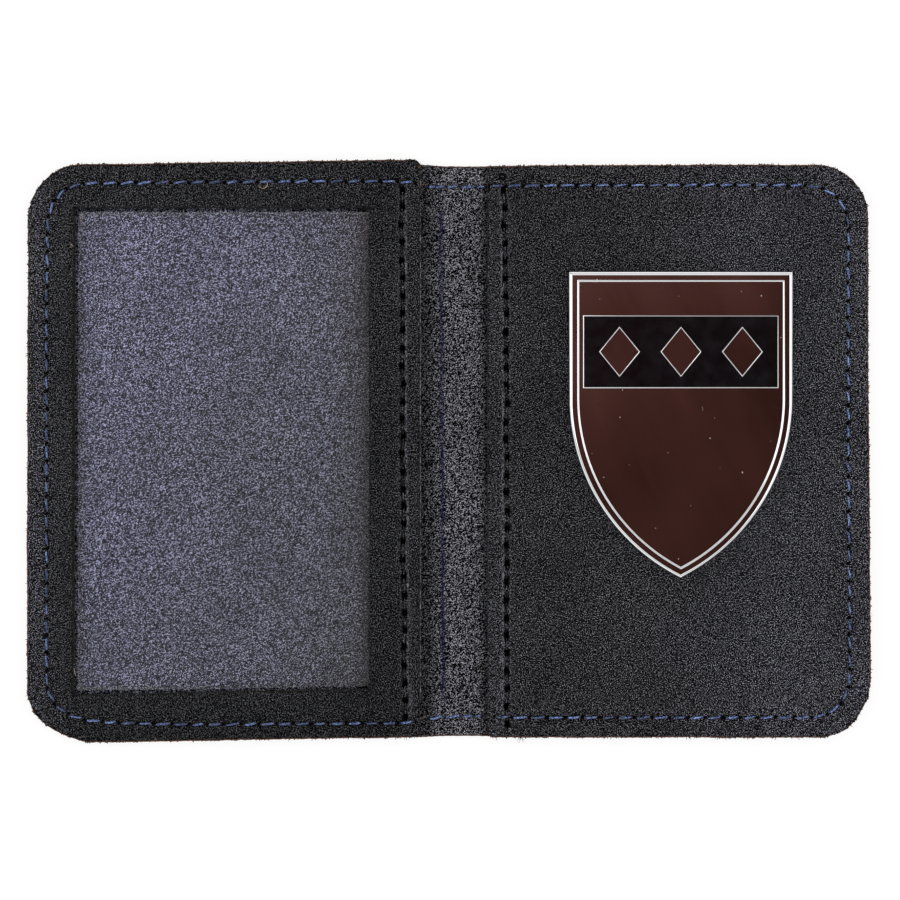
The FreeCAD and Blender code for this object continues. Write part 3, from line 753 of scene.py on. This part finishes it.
def upperShare(level):
    return smoothStep((level - 0.7) / 0.3)


def stitchMarks(x, y, inset, level, seam, edgeLine):
    side = insetFromSides(x, y)
    blue, black = pressed(x, y, seam, blueDraw), pressed(x, y, edgeLine, blackDraw)
    upper = upperShare(level)
    # painted shade in the needle pits and along the black seam's groove
    dark = max(blue[1], black[1], 0.52 * hump(away(edgeLine[0], x, y), 0.26))
    towardSpine = 1.0 if abs(x) < abs(edgeLine[0].find((x, y, 0.0))[0].x) else 0.25
    rawEdge = (1.0 - smoothStep(inset / 0.4)) * (1.0 - smoothStep((side - 0.8) / 0.6))
    return {
        # painted light of the side lamps
        "margin": paintedLightAt(x, y),
        "hole": dark * upper,
        # painted highlight on the lips of the black seam, stronger on their side towards the spine
        "lip": black[2] * upper * towardSpine,
        "edge": rawEdge * smoothStep((abs(x) - 5.5) / 3.0),
        # painted shade at the rim and painted shadow beside the window
        "turned": paintedRimShade(x, y, inset, side) * upper,
    }


def panelTop(x, y, under, thick, seam, edgeLine, seed):
    drawn = pressed(x, y, seam, blueDraw)[0] + pressed(x, y, edgeLine, blackDraw)[0]
    return under(x, y) + thick - drawn + 0.03 * ripple(x, y, 2.6, seed)


def cutWindowPanel():
    seam, edgeLine = seamTrees(leftHoles), seamTrees(windowEdgeHoles, squeeze=blackDraw["squeeze"])
    mouth, (upper, lower) = windowCut["mouth"], windowCut["mouthCorners"]
    bm = flatSheet(-halfWidth, mouth, -reach, reach, hide["cell"])
    roundCorner(bm, (-halfWidth, reach), (-1, 1), hide["corners"]["upperLeft"])
    chopCorner(bm, hide["corners"]["lowerLeft"])
    roundCorner(bm, (mouth, reach), (1, 1), (upper, upper), chops=4)
    roundCorner(bm, (mouth, -reach), (1, -1), (lower, lower), chops=3)
    left, right, high, lowLeft, lowRight = windowCut["window"]
    slope = Vector((lowRight - lowLeft, left - right)).normalized()
    cutAlong(bm, (left, 0.0), (-1.0, 0.0))
    cutAlong(bm, (right, 0.0), (1.0, 0.0))
    cutAlong(bm, (0.0, high), (0.0, 1.0))
    cutAlong(bm, (left, lowLeft), slope)

    def inWindow(p):
        return left < p.x < right and windowFloor(p.x) < p.y < high

    bmesh.ops.delete(bm, geom=[f for f in bm.faces if inWindow(f.calc_center_median())], context="FACES")
    rim = rimOf(bm)

    def fine(p):
        x, y = windowPlace(p.x, p.y)
        return away(rim, p.x, p.y) < nearRim or min(away(seam[0], x, y), away(edgeLine[0], x, y)) < nearSeam

    refine(bm, fine, cuts=2)
    thicken(bm, wallCuts=2)

    def over(x, y):
        return panelTop(x, y, windowUnder, windowCut["thick"], seam, edgeLine, 4)

    def marks(x, y, inset, level):
        return stitchMarks(x, y, inset, level, seam, edgeLine)

    rimSpots = formHide(bm, 1, windowPlace, over, windowUnder, marks)
    outer = [p for p, inset in rimSpots if inset < hide["outerRim"]]
    inner = [p for p, inset in rimSpots if inset > 5.0 and p.x < -10.0]
    addFray("frayLeft", "outer", "window_half", outer)
    addFray("frayWindow", "inner", "window_half", inner)
    piece = finishPiece("windowPanel", bm, [windowGrain, panelNap, cutEdge])
    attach(piece, "window_half")
    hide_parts("window_panel")


cutWindowPanel()


# clear vinyl behind the frame
vinylCut = {"left": -65.9, "mouth": -4.70, "edge": -4.90, "reach": 42.9, "thick": 0.25, "gap": 0.04,
            "cell": 1.4, "sag": 0.06}


def cutWindowVinyl():
    half = vinylCut["reach"]
    bm = flatSheet(vinylCut["left"], vinylCut["mouth"], -half, half, vinylCut["cell"])
    cutAlong(bm, (vinylCut["edge"], 0.0), (1.0, 0.0))
    thicken(bm, wallCuts=1)
    for vert in bm.verts:
        x, y = vert.co.x, vert.co.y
        above = windowUnder(x, y) - vinylCut["gap"]
        above -= vinylCut["sag"] + vinylCut["sag"] * ripple(x, y, 16.0, 6)
        vert.co.z = above - vinylCut["thick"] * (1.0 - vert.co.z)
    for face in bm.faces:
        # the strip at the mouth takes the painted highlight of the cut edge
        face.material_index = 1 if face.calc_center_median().x > vinylCut["edge"] else 0
    piece = finishPiece("windowFilm", bm, [windowVinyl, vinylEdgeHighlight])
    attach(piece, "window_half")
    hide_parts("window_film")


cutWindowVinyl()


# badge panel: the plain right half that carries the emblem
badgeCut = {
    "mouth": 6.62,
    "mouthCorners": (0.6, 1.1),
    "thick": 1.3,
    "seat": 1.43,
    "raised": 2.6,
    "rise": (4.0, 8.6),
    "flat": (39.35, 14.0, 8.0),    # under the emblem: its middle, half its width and the run out of it
    "strayHole": (9.14, 46.8),
}


def rightLean(x, y):
    # the outer side leans out towards the bottom
    (lean, slope), (depth, middle, width) = hide["rightLean"], hide["rightDent"]
    return x + (lean + slope * y - depth * hump(y - middle, width)) * sideShare(x)


def badgePlace(x, y):
    nip = 0.07 + 0.18 * (1.0 - smoothStep((x - 7.0) / 26.0))
    return rightLean(x, y), y - nip * endShare(max(y, 0.0))


def badgeUnder(x, y):
    middle, half, run = badgeCut["flat"]
    wavy = smoothStep((abs(x - middle) - half) / run)
    return pocketLift(x, y, badgeCut) + 0.05 * ripple(x, y, 11.0, 13) * wavy


def fromStray(x, y):
    return math.dist((x, y), badgeCut["strayHole"])


def cutBadgePanel():
    seam, edgeLine = seamTrees(rightHoles), seamTrees(badgeEdgeHoles, squeeze=blackDraw["squeeze"])
    mouth, (upper, lower) = badgeCut["mouth"], badgeCut["mouthCorners"]
    bm = flatSheet(mouth, halfWidth, -reach, reach, hide["cell"])
    roundCorner(bm, (halfWidth, reach), (1, 1), hide["corners"]["upperRight"])
    chopCorner(bm, hide["corners"]["lowerRight"])
    roundCorner(bm, (mouth, reach), (-1, 1), (upper, upper), chops=3)
    roundCorner(bm, (mouth, -reach), (-1, -1), (lower, lower), chops=3)
    rim = rimOf(bm)

    def fine(p):
        toLines = min(away(seam[0], p.x, p.y), away(edgeLine[0], p.x, p.y), fromStray(p.x, p.y))
        return away(rim, p.x, p.y) < nearRim or toLines < nearSeam

    def finest(p):
        return fromStray(p.x, p.y) < 0.8

    refine(bm, fine, cuts=2)
    refine(bm, finest, cuts=1)
    thicken(bm, wallCuts=2)

    def over(x, y):
        return panelTop(x, y, badgeUnder, badgeCut["thick"], seam, edgeLine, 14)

    def marks(x, y, inset, level):
        values = stitchMarks(x, y, inset, level, seam, edgeLine)
        # the stray needle hole gets a ring of the same painted shade
        ring = 0.95 * hump(abs(fromStray(x, y) - 0.46), 0.17) * upperShare(level)
        values["hole"] = max(values["hole"], ring)
        return values

    rimSpots = formHide(bm, 21, badgePlace, over, badgeUnder, marks)
    outer = [p for p, inset in rimSpots if inset < hide["outerRim"]]
    addFray("frayRight", "outer", "emblem_half", outer)
    piece = finishPiece("badgePanel", bm, [badgeGrain, panelNap, cutEdge])
    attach(piece, "emblem_half")
    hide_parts("badge_panel")


cutBadgePanel()


# cover: one hide, nap inwards, cut here at the middle of the spine into two halves
coverCut = {
    "thick": 1.4,
    "ground": 0.02,
    "groove": 0.40,              # how deep the seam lies in the outside
    "cell": 1.0,
    "bend": (2.5, 6.9),          # the fold runs between these distances from the middle
    "bare": 9.0,                 # nap nearer the middle than this is in the open
    "topShift": (-0.01, 0.12),
    "bottomShift": (-0.90, -0.10),
    "nip": (-0.12, 0.08),        # how much shorter it is at the middle of the spine, top and bottom
    "penLine": (-1.28, -0.90, 0.30),    # its x at the top and the bottom, and its width
}


def coverPlace(x, y):
    ends = endShare(y)
    nip = coverCut["nip"][0 if y > 0 else 1]
    if x > 0:
        fade = smoothStep((x - 7.0) / 26.0) if y > 0 else smoothStep((x - 3.0) / 5.0)
        far = -0.07 if y > 0 else 0.0
        return rightLean(x, y), y + (nip + (far - nip) * fade) * ends
    rest = nip - coverCut["topShift" if y > 0 else "bottomShift"][1]
    x, y = leftSkew(x, y, coverCut["topShift"], coverCut["bottomShift"])
    return x, y + rest * smoothStep((x + 4.5) / 4.5) * ends


def paintedVinylHaze(x, y):
    # painted haze light of the vinyl on the nap: strongest in the upper left of the window, less in the lower
    # left, none right at its edges
    left, right, high = windowCut["window"][:3]
    if not left < x < right:
        return 0.0
    low = windowFloor(x)
    clear = smoothStep((x - left) / 1.3) * smoothStep((right - x) / 9.0)
    clear *= smoothStep((high - y) / 1.2) * smoothStep((y - low) / 1.2)
    toLeft, up = (right - x) / (right - left), (y - low) / (high - low)
    corners = 1.2 * (0.5 * (toLeft + up)) ** 2 + 0.45 * toLeft ** 2 * (1.0 - up) ** 2
    return clear * (0.20 + corners + 0.12 * ripple(x, y, 14.0, 71))


def frameShade(x, y):
    # the frame's shadow lies softly along the right side of the window
    left, right, high = windowCut["window"][:3]
    return 1.0 - smoothStep((right - x) / 2.4) if left < x < right and abs(y) < high else 0.0


def bendAtFold(piece):
    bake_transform(piece)


def cutCover(name, side, nodes):
    spineSeam = seamTrees(spineTopHoles, spineBottomHoles)
    lines, holes = seamTrees(leftHoles if side < 0 else rightHoles, spineTopHoles, spineBottomHoles)[:2]
    left, right = (-halfWidth, 0.0) if side < 0 else (0.0, halfWidth)
    bm = flatSheet(left, right, -reach, reach, coverCut["cell"])
    hand = "Left" if side < 0 else "Right"
    roundCorner(bm, (side * halfWidth, reach), (side, 1), hide["corners"]["upper" + hand])
    chopCorner(bm, hide["corners"]["lower" + hand])
    rim = rimOf(bm)

    def fine(p):
        atSide = away(rim, p.x, p.y) < nearRim and abs(p.x) > 1.0
        atEnd = abs(abs(p.y) - reach) < nearRim
        return atSide or atEnd or abs(p.x) < 7.2 or away(lines, *coverPlace(p.x, p.y)) < nearSeam

    refine(bm, fine, cuts=2)
    thicken(bm, wallCuts=2)

    def outside(x, y):
        groove = coverCut["groove"] * hump(away(lines, x, y), 0.55)
        return coverCut["ground"] + groove + 0.02 * abs(ripple(x, y, 3.0, 31))

    def inside(x, y):
        dip = pressed(x, y, spineSeam, blueDraw)[0] if abs(x) < coverCut["bare"] else 0.0
        nap = 0.03 * ripple(x, y, 0.8, 33) if abs(x) < 7.0 else 0.0
        return coverCut["thick"] - 0.6 * dip + nap - 0.03

    def marks(x, y, inset, level):
        start, end, width = coverCut["penLine"]
        lineX = start + (end - start) * (42.0 - y) / 90.0
        beside = max(1.0 - smoothStep((x + 4.6) / 4.3), hump(x - 6.4, 0.7))
        rawEdge = 0.45 + 0.55 * smoothStep((abs(x) - 5.0) / 3.0)
        return {
            # painted light of the side lamps
            "margin": paintedLightAt(x, y),
            # painted shade in the needle holes
            "hole": hump(away(holes, x, y), blueDraw["dark"]),
            # painted shadow on the nap beside both panels' mouths and under the frame's right side
            "crease": beside if abs(x) < coverCut["bare"] else frameShade(x, y),
            # painted haze light under the window
            "behind": paintedVinylHaze(x, y) if level > 0.9 else 0.0,
            "edge": (1.0 - smoothStep(inset / 0.4)) * rawEdge,
            "penLine": hump(x - lineX, width) * smoothStep((42.7 - abs(y + 0.9)) / 1.5),
        }

    formHide(bm, 41 if side < 0 else 51, coverPlace, inside, outside, marks, cap=0.0)
    piece = finishPiece(name, bm, [spineNap, coverGrain, cutEdge])
    bendAtFold(piece)
    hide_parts(*nodes)


cutCover("coverLeft", -1, ("cover_left", "spine"))
cutCover("coverRight", 1, ("cover_right",))


# one stitch, a few dozen faces: a thread that comes up, lies along the hide and goes down again
stitch = {
    "radius": 0.175, "half": 1.07, "crown": 0.20, "dive": 1.05, "slant": 7.0, "jitter": 5.0,
    "lowCrown": 0.14,
    "black": (0.12, 0.02),     # radius and crown of the thin thread
    "length": (0.90, 1.06), "width": (0.85, 1.08), "height": (0.75, 1.10),    # no two alike
    "upright": 0.08,           # how much shorter they are along the sides
    "sink": (0.12, 0.08),      # how deep they lie in a panel and in the nap
}


def makeStitch(radius, crown):
    bm = bmesh.new()
    bmesh.ops.create_cone(bm, cap_ends=True, segments=6, radius1=radius, radius2=radius, depth=2.0)
    lengthwise = [e for e in bm.edges if abs(e.verts[0].co.z - e.verts[1].co.z) > 1.0]
    bmesh.ops.subdivide_edges(bm, edges=lengthwise, cuts=7)
    twist = bm.loops.layers.uv.new("twist")
    for face in bm.faces:
        face.smooth = True
        turns = [math.atan2(loop.vert.co.y, loop.vert.co.x) / math.tau for loop in face.loops]
        if max(turns) - min(turns) > 0.5:
            turns = [turn + 1.0 if turn < 0 else turn for turn in turns]
        for loop, turn in zip(face.loops, turns):
            loop[twist].uv = (loop.vert.co.z, turn)

    def path(t):
        along = stitch["half"] * math.sin(1.2 * t) / math.sin(1.2)
        return Vector((along, 0.0, crown - stitch["dive"] * t ** 4))

    for vert in bm.verts:
        t = vert.co.z
        heading = (path(t + 0.01) - path(t - 0.01)).normalized()
        lift = heading.cross(Vector((0.0, 1.0, 0.0)))
        vert.co = path(t) + Vector((0.0, vert.co.y, 0.0)) - lift * vert.co.x
    bmesh.ops.recalc_face_normals(bm, faces=bm.faces[:])
    mesh = bpy.data.meshes.new("stitch")
    bm.to_mesh(mesh)
    bm.free()
    return mesh


def sewRow(bm, form, holes, level, under=False, slant=stitch["slant"]):
    shade = bm.verts.layers.float.get("shade") or bm.verts.layers.float.new("shade")
    for start, end in zip(holes, holes[1:]):
        first = len(bm.verts)
        bm.from_mesh(form)
        bm.verts.ensure_lookup_table()
        made = bm.verts[first:]
        middle, run = (start + end) / 2, end - start
        heading = math.atan2(run.y, run.x) + math.radians(slant + random.uniform(-1, 1) * stitch["jitter"])
        place = Matrix.Translation((middle.x, middle.y, level(middle.x, middle.y)))
        place @= Matrix.Rotation(heading, 4, "Z")
        if under:
            place @= Matrix.Rotation(math.pi, 4, "X")
        long = run.length / sewing["blue"]["pitch"] * random.uniform(*stitch["length"])
        long *= 1.0 - stitch["upright"] * abs(run.y) / run.length
        wide, tall = random.uniform(*stitch["width"]), random.uniform(*stitch["height"])
        place @= Matrix.Diagonal((long, wide, tall, 1.0))
        bmesh.ops.transform(bm, matrix=place, verts=made)
        tone = random.random()
        for vert in made:
            vert[shade] = tone


topStitch = makeStitch(stitch["radius"], stitch["crown"])
lowStitch = makeStitch(stitch["radius"], stitch["lowCrown"])
blackStitch = makeStitch(*stitch["black"])


# the levels that the threads lie at
def windowTop(x, y):
    return pocketLift(x, y, windowCut) + windowCut["thick"] - stitch["sink"][0]


def windowBack(x, y):
    return pocketLift(x, y, windowCut)


def badgeTop(x, y):
    return pocketLift(x, y, badgeCut) + badgeCut["thick"] - stitch["sink"][0]


def badgeBack(x, y):
    return pocketLift(x, y, badgeCut)


def spineTop(x, y):
    return coverCut["thick"] - stitch["sink"][1]


def outerFace(x, y):
    return coverCut["ground"] + coverCut["groove"]


# each seam has a top thread and, below it, a bobbin thread
threads = {
    "blue": {"slot": "blue_thread", "finish": blueThread, "top": topStitch, "bobbin": lowStitch,
             "slant": stitch["slant"]},
    "black": {"slot": "black_thread", "finish": blackThread, "top": blackStitch, "bobbin": blackStitch,
              "slant": 0.0},
}
seams = (
    ("seamTopLeft", "window_half", "seam_top_thread_left", "blue", leftHoles, windowTop),
    ("seamBobbinLeft", "window_half", "seam_bobbin_thread_left", "blue", leftHoles, outerFace),
    ("seamTopRight", "emblem_half", "seam_top_thread_right", "blue", rightHoles, badgeTop),
    ("seamBobbinRight", "emblem_half", "seam_bobbin_thread_right", "blue", rightHoles, outerFace),
    ("windowEdgeTop", "window_half", "window_edge_top_thread", "black", windowEdgeHoles, windowTop),
    ("windowEdgeBobbin", "window_half", "window_edge_bobbin_thread", "black", windowEdgeHoles, windowBack),
    ("badgeEdgeTop", "emblem_half", "badge_edge_top_thread", "black", badgeEdgeHoles, badgeTop),
    ("badgeEdgeBobbin", "emblem_half", "badge_edge_bobbin_thread", "black", badgeEdgeHoles, badgeBack),
)
for name, body, node, colour, holes, level in seams:
    thread, under = threads[colour], "Bobbin" in name
    bm = bmesh.new()
    sewRow(bm, thread["bobbin" if under else "top"], holes, level, under, thread["slant"])
    piece = finishPiece(name, bm, [thread["finish"]])
    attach(piece, body)
    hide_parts(node)


# the seam across the bare spine, in two halves like the cover
def sewSpine(name, node, rows):
    bm = bmesh.new()
    for row in rows:
        sewRow(bm, topStitch, row, spineTop)
        sewRow(bm, lowStitch, row, outerFace, True)
    piece = finishPiece(name, bm, [blueThread])
    bendAtFold(piece)
    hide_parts(node)


sewSpine("seamSpineLeft", "seam_top_thread_spine",
         [spineTopHoles[:3], spineBottomHoles[:2]])
sewSpine("seamSpineRight", "seam_bobbin_thread_spine",
         [spineTopHoles[2:], spineBottomHoles[1:]])


# loose ends: a curl of pale fibre on the top seam, others round the window, blue tufts at the lower edge
looseEnds = {
    "looseLeft": {
        "body": "window_half", "slot": "panel_leather", "finish": paleFibre, "radius": 0.065,
        "paths": [
            ((-32.35, 45.35, 2.75), (-31.9, 44.2, 3.1), (-30.3, 45.0, 3.15), (-31.1, 46.15, 2.75)),
            ((-62.7, 40.15, 2.9), (-62.9, 39.6, 3.1), (-62.6, 39.1, 3.1), (-62.2, 38.95, 2.9)),
            ((-64.2, 35.2, 4.2), (-63.9, 35.0, 4.4), (-63.8, 34.7, 4.3), (-63.6, 34.6, 4.0)),
            ((-63.7, -36.9, 4.1), (-63.5, -37.1, 4.3), (-63.6, -37.6, 4.3), (-63.3, -38.3, 4.0)),
            ((-4.95, 46.5, 1.9), (-4.8, 46.2, 2.2), (-4.7, 45.8, 2.2), (-4.75, 45.4, 1.9)),
        ],
    },
    "tuftLeft": {
        "body": "window_half", "slot": "blue_thread", "finish": blueThread, "radius": 0.045,
        "paths": [
            ((-7.3, -48.6, 1.9), (-7.3, -48.9, 2.0), (-7.1, -49.2, 1.9), (-7.2, -49.5, 1.7)),
            ((-7.4, -48.6, 1.9), (-7.5, -48.9, 2.0), (-7.6, -49.1, 1.9), (-7.5, -49.4, 1.7)),
        ],
    },
    "tuftRight": {
        "body": "emblem_half", "slot": "blue_thread", "finish": blueThread, "radius": 0.045,
        "paths": [
            ((12.4, -48.7, 1.9), (12.3, -49.0, 2.0), (12.0, -49.4, 1.9), (11.7, -49.6, 1.6)),
            ((12.5, -48.7, 1.9), (12.5, -49.1, 2.0), (12.2, -49.5, 1.9), (12.0, -50.0, 1.6)),
            ((12.6, -48.7, 1.9), (12.7, -49.1, 2.0), (12.6, -49.5, 1.9), (12.8, -49.9, 1.6)),
            ((12.3, -48.7, 1.9), (12.4, -49.2, 2.0), (12.7, -49.3, 1.9), (13.0, -49.5, 1.6)),
        ],
    },
}


def layFibre(bm, path, radius):
    first = len(bm.verts)
    made = bmesh.ops.create_cone(bm, cap_ends=True, segments=5, radius1=radius, radius2=radius * 0.6,
                                 depth=1.0)
    edges = {e for v in made["verts"] for e in v.link_edges}
    lengthwise = [e for e in edges if abs(e.verts[0].co.z - e.verts[1].co.z) > 0.5]
    bmesh.ops.subdivide_edges(bm, edges=lengthwise, cuts=8)
    bm.verts.ensure_lookup_table()
    start, leave, arrive, end = [Vector(p) for p in path]
    for vert in bm.verts[first:]:
        t = vert.co.z + 0.5
        u = 1.0 - t
        middle = u ** 3 * start + 3 * u * u * t * leave + 3 * u * t * t * arrive + t ** 3 * end
        heading = u * u * (leave - start) + 2 * u * t * (arrive - leave) + t * t * (end - arrive)
        across = heading.cross(Vector((0.0, 0.0, 1.0))).normalized()
        lift = across.cross(heading).normalized()
        vert.co = middle + across * vert.co.x + lift * vert.co.y


for name, ends in looseEnds.items():
    bm = bmesh.new()
    for path in ends["paths"]:
        layFibre(bm, path, ends["radius"])
    bmesh.ops.recalc_face_normals(bm, faces=bm.faces[:])
    for face in bm.faces:
        face.smooth = True
    piece = finishPiece(name, bm, [ends["finish"]])
    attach(piece, ends["body"])


# emblem: the machined plate and its enamel, with every corner rounded as polishing leaves it
polish = {
    "plate": 0.16, "enamel": 0.07,    # width of the rounding
    "rounded": 24.0,                  # an edge that turns by more degrees than this is rounded
    "creased": 40.0,                  # and one that turns by more than this is shaded as a crease
}


def polishNode(name, node, finish, width):
    bm = bmesh.new()
    bm.from_mesh(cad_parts[node].data)
    bmesh.ops.scale(bm, verts=bm.verts, vec=(1.0 / mm, 1.0 / mm, 1.0 / mm))
    bmesh.ops.remove_doubles(bm, verts=bm.verts[:], dist=0.002)
    bmesh.ops.dissolve_limit(bm, angle_limit=math.radians(1.0), verts=bm.verts[:], edges=bm.edges[:])
    sharp, creased = math.radians(polish["rounded"]), math.radians(polish["creased"])
    corners = [e for e in bm.edges if len(e.link_faces) == 2 and e.calc_face_angle() > sharp]
    bmesh.ops.bevel(bm, geom=corners, offset=width, offset_type="OFFSET", segments=3, profile=0.5,
                    affect="EDGES", material=-1, clamp_overlap=True)
    bm.normal_update()
    for face in bm.faces:
        face.smooth = abs(face.normal.z) < 0.98
        face.material_index = 0
    for edge in bm.edges:
        edge.smooth = len(edge.link_faces) == 2 and edge.calc_face_angle() < creased
    piece = finishPiece(name, bm, [finish])
    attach(piece, "emblem_half")
    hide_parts(node)


polishNode("emblemPlate", "emblem_plate", emblemMetal, polish["plate"])
polishNode("emblemEnamel", "emblem_enamel", blackEnamel, polish["enamel"])
for node in ("emblem_legs", "emblem_backing"):
    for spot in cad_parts[node].material_slots:
        spot.material = fixingSteel
print("emblem finished")


# studio: white floor, soft light from the sides, a dark ceiling that only polished metal shows
studio = {
    "floor": {"radius": 2500.0, "level": -0.25, "colour": 0.26, "glow": 0.79},
    "underGap": 0.0007,        # metres between the cover and the floor that light passes
    "worldLight": 0.80,
    "sideLight": 0.10,
    "softboxes": {             # place and size in metres
        "softboxLeft": ((-0.62, 0.10, 0.42), (0.5, 0.7)),
        "softboxRight": ((0.62, -0.05, 0.45), (0.6, 0.8)),
    },
    "cards": {"radius": 900.0, "height": (190.0, 640.0),
              "shades": [(0.0, 0.16), (0.45, 0.34), (0.85, 0.75), (1.0, 1.0)]},
    "ceiling": {"radius": 290.0, "level": 620.0,
                "shades": ((0.25, (0.020, 0.007, 0.005)), (0.50, (0.062, 0.022, 0.018)),
                           (0.85, (0.150, 0.066, 0.058)))},
}
pureBlack, pureWhite = (0.0, 0.0, 0.0, 1.0), (1.0, 1.0, 1.0, 1.0)


def rayShows(tree):
    rays = addNode(tree, "ShaderNodeLightPath")
    seen = maths(tree, "MAXIMUM", rays.outputs["Is Camera Ray"], rays.outputs["Is Glossy Ray"])
    return maths(tree, "MAXIMUM", seen, rays.outputs["Is Transmission Ray"])


def layFloor():
    floor = studio["floor"]
    bm = bmesh.new()
    bmesh.ops.create_circle(bm, cap_ends=True, segments=96, radius=floor["radius"])
    bmesh.ops.translate(bm, verts=bm.verts, vec=(0.0, 0.0, floor["level"]))
    finish, tree, shader = newFinish("whiteFloor")
    dress(tree, shader, {"Base Color": (*[floor["colour"]] * 3, 1.0), "Roughness": 0.9,
                         "Specular IOR Level": 0.0, "Emission Color": pureWhite,
                         "Emission Strength": maths(tree, "MULTIPLY", rayShows(tree), floor["glow"])})
    # seen from below, the floor lets the outside of the cover show, and lets light reach it
    sides = addNode(tree, "ShaderNodeNewGeometry")
    rays = addNode(tree, "ShaderNodeLightPath")
    lit = maths(tree, "MAXIMUM", rays.outputs["Is Diffuse Ray"], rays.outputs["Is Shadow Ray"])
    close = maths(tree, "LESS_THAN", rays.outputs["Ray Length"], studio["underGap"])
    lit = maths(tree, "MULTIPLY", lit, close)
    partlyClear(tree, shader, maths(tree, "MAXIMUM", sides.outputs["Backfacing"], lit))
    finishPiece("studioFloor", bm, [finish])


def glowingFinish(name):
    finish, tree, shader = newFinish(name)
    dress(tree, shader, {"Base Color": pureBlack, "Specular IOR Level": 0.0, "Emission Strength": 1.0})
    place = addNode(tree, "ShaderNodeTexCoord")
    return finish, tree, shader.inputs["Emission Color"], place.outputs["Object"]


def showInGlossOnly(obj):
    obj.visible_camera = False
    obj.visible_diffuse = False
    obj.visible_transmission = False
    obj.visible_shadow = False


def hangCeiling():
    ceiling = studio["ceiling"]
    bm = bmesh.new()
    bmesh.ops.create_circle(bm, cap_ends=True, segments=64, radius=ceiling["radius"])
    bmesh.ops.translate(bm, verts=bm.verts, vec=(0.0, 0.0, ceiling["level"]))
    finish, tree, glow, place = glowingFinish("darkCeiling")
    along = addNode(tree, "ShaderNodeMapping", Vector=place, Location=(0.12, 0.0, 0.0),
                    Rotation=(0.0, 0.0, math.radians(-115.0)), Scale=(2.6, 2.6, 2.6))
    slope = addNode(tree, "ShaderNodeTexGradient", Vector=along.outputs["Vector"])
    patches = maths(tree, "MULTIPLY", grainNoise(tree, (30.0, 11.0, 11.0), 30.0, detail=3.0), 0.7)
    shade = maths(tree, "ADD", slope.outputs["Fac"], patches)
    tree.links.new(stepped(tree, shade, ceiling["shades"]), glow)
    showInGlossOnly(finishPiece("studioCeiling", bm, [finish]))


def standCards():
    # a ring of grey cards that only gloss shows, palest at the top
    cards = studio["cards"]
    low, high = cards["height"]
    bm = bmesh.new()
    bmesh.ops.create_cone(bm, cap_ends=False, segments=64, radius1=cards["radius"], radius2=cards["radius"],
                          depth=high - low)
    bmesh.ops.translate(bm, verts=bm.verts, vec=(0.0, 0.0, (low + high) / 2))
    finish, tree, glow, place = glowingFinish("greyCards")
    split = addNode(tree, "ShaderNodeSeparateXYZ", Vector=place)
    rise = addNode(tree, "ShaderNodeMapRange", Value=split.outputs["Z"])
    dress(tree, rise, {"From Min": low * mm, "From Max": high * mm})
    tree.links.new(stepped(tree, rise.outputs["Result"], cards["shades"]), glow)
    showInGlossOnly(finishPiece("studioCards", bm, [finish]))


def addSoftbox(name, place, size, share):
    light = bpy.data.lights.new(name, "AREA")
    light.shape = "RECTANGLE"
    light.size, light.size_y = size
    at = Vector(place)
    light.energy = share * math.pi ** 2 * at.length_squared / (at.z / at.length)
    lamp = bpy.data.objects.new(name, light)
    lamp.location = at
    lamp.rotation_euler = (-at).to_track_quat("-Z", "Y").to_euler()
    scene.collection.objects.link(lamp)


layFloor()
hangCeiling()
standCards()
for name, (place, size) in studio["softboxes"].items():
    addSoftbox(name, place, size, studio["sideLight"])
world = bpy.data.worlds.new("studioWorld")
scene.world = world
world.use_nodes = True
sky = world.node_tree
brighter = maths(sky, "MULTIPLY", rayShows(sky), 1.0 - studio["worldLight"])
dress(sky, sky.nodes["Background"], {"Color": pureWhite,
                                     "Strength": maths(sky, "ADD", brighter, studio["worldLight"])})
print("studio set")
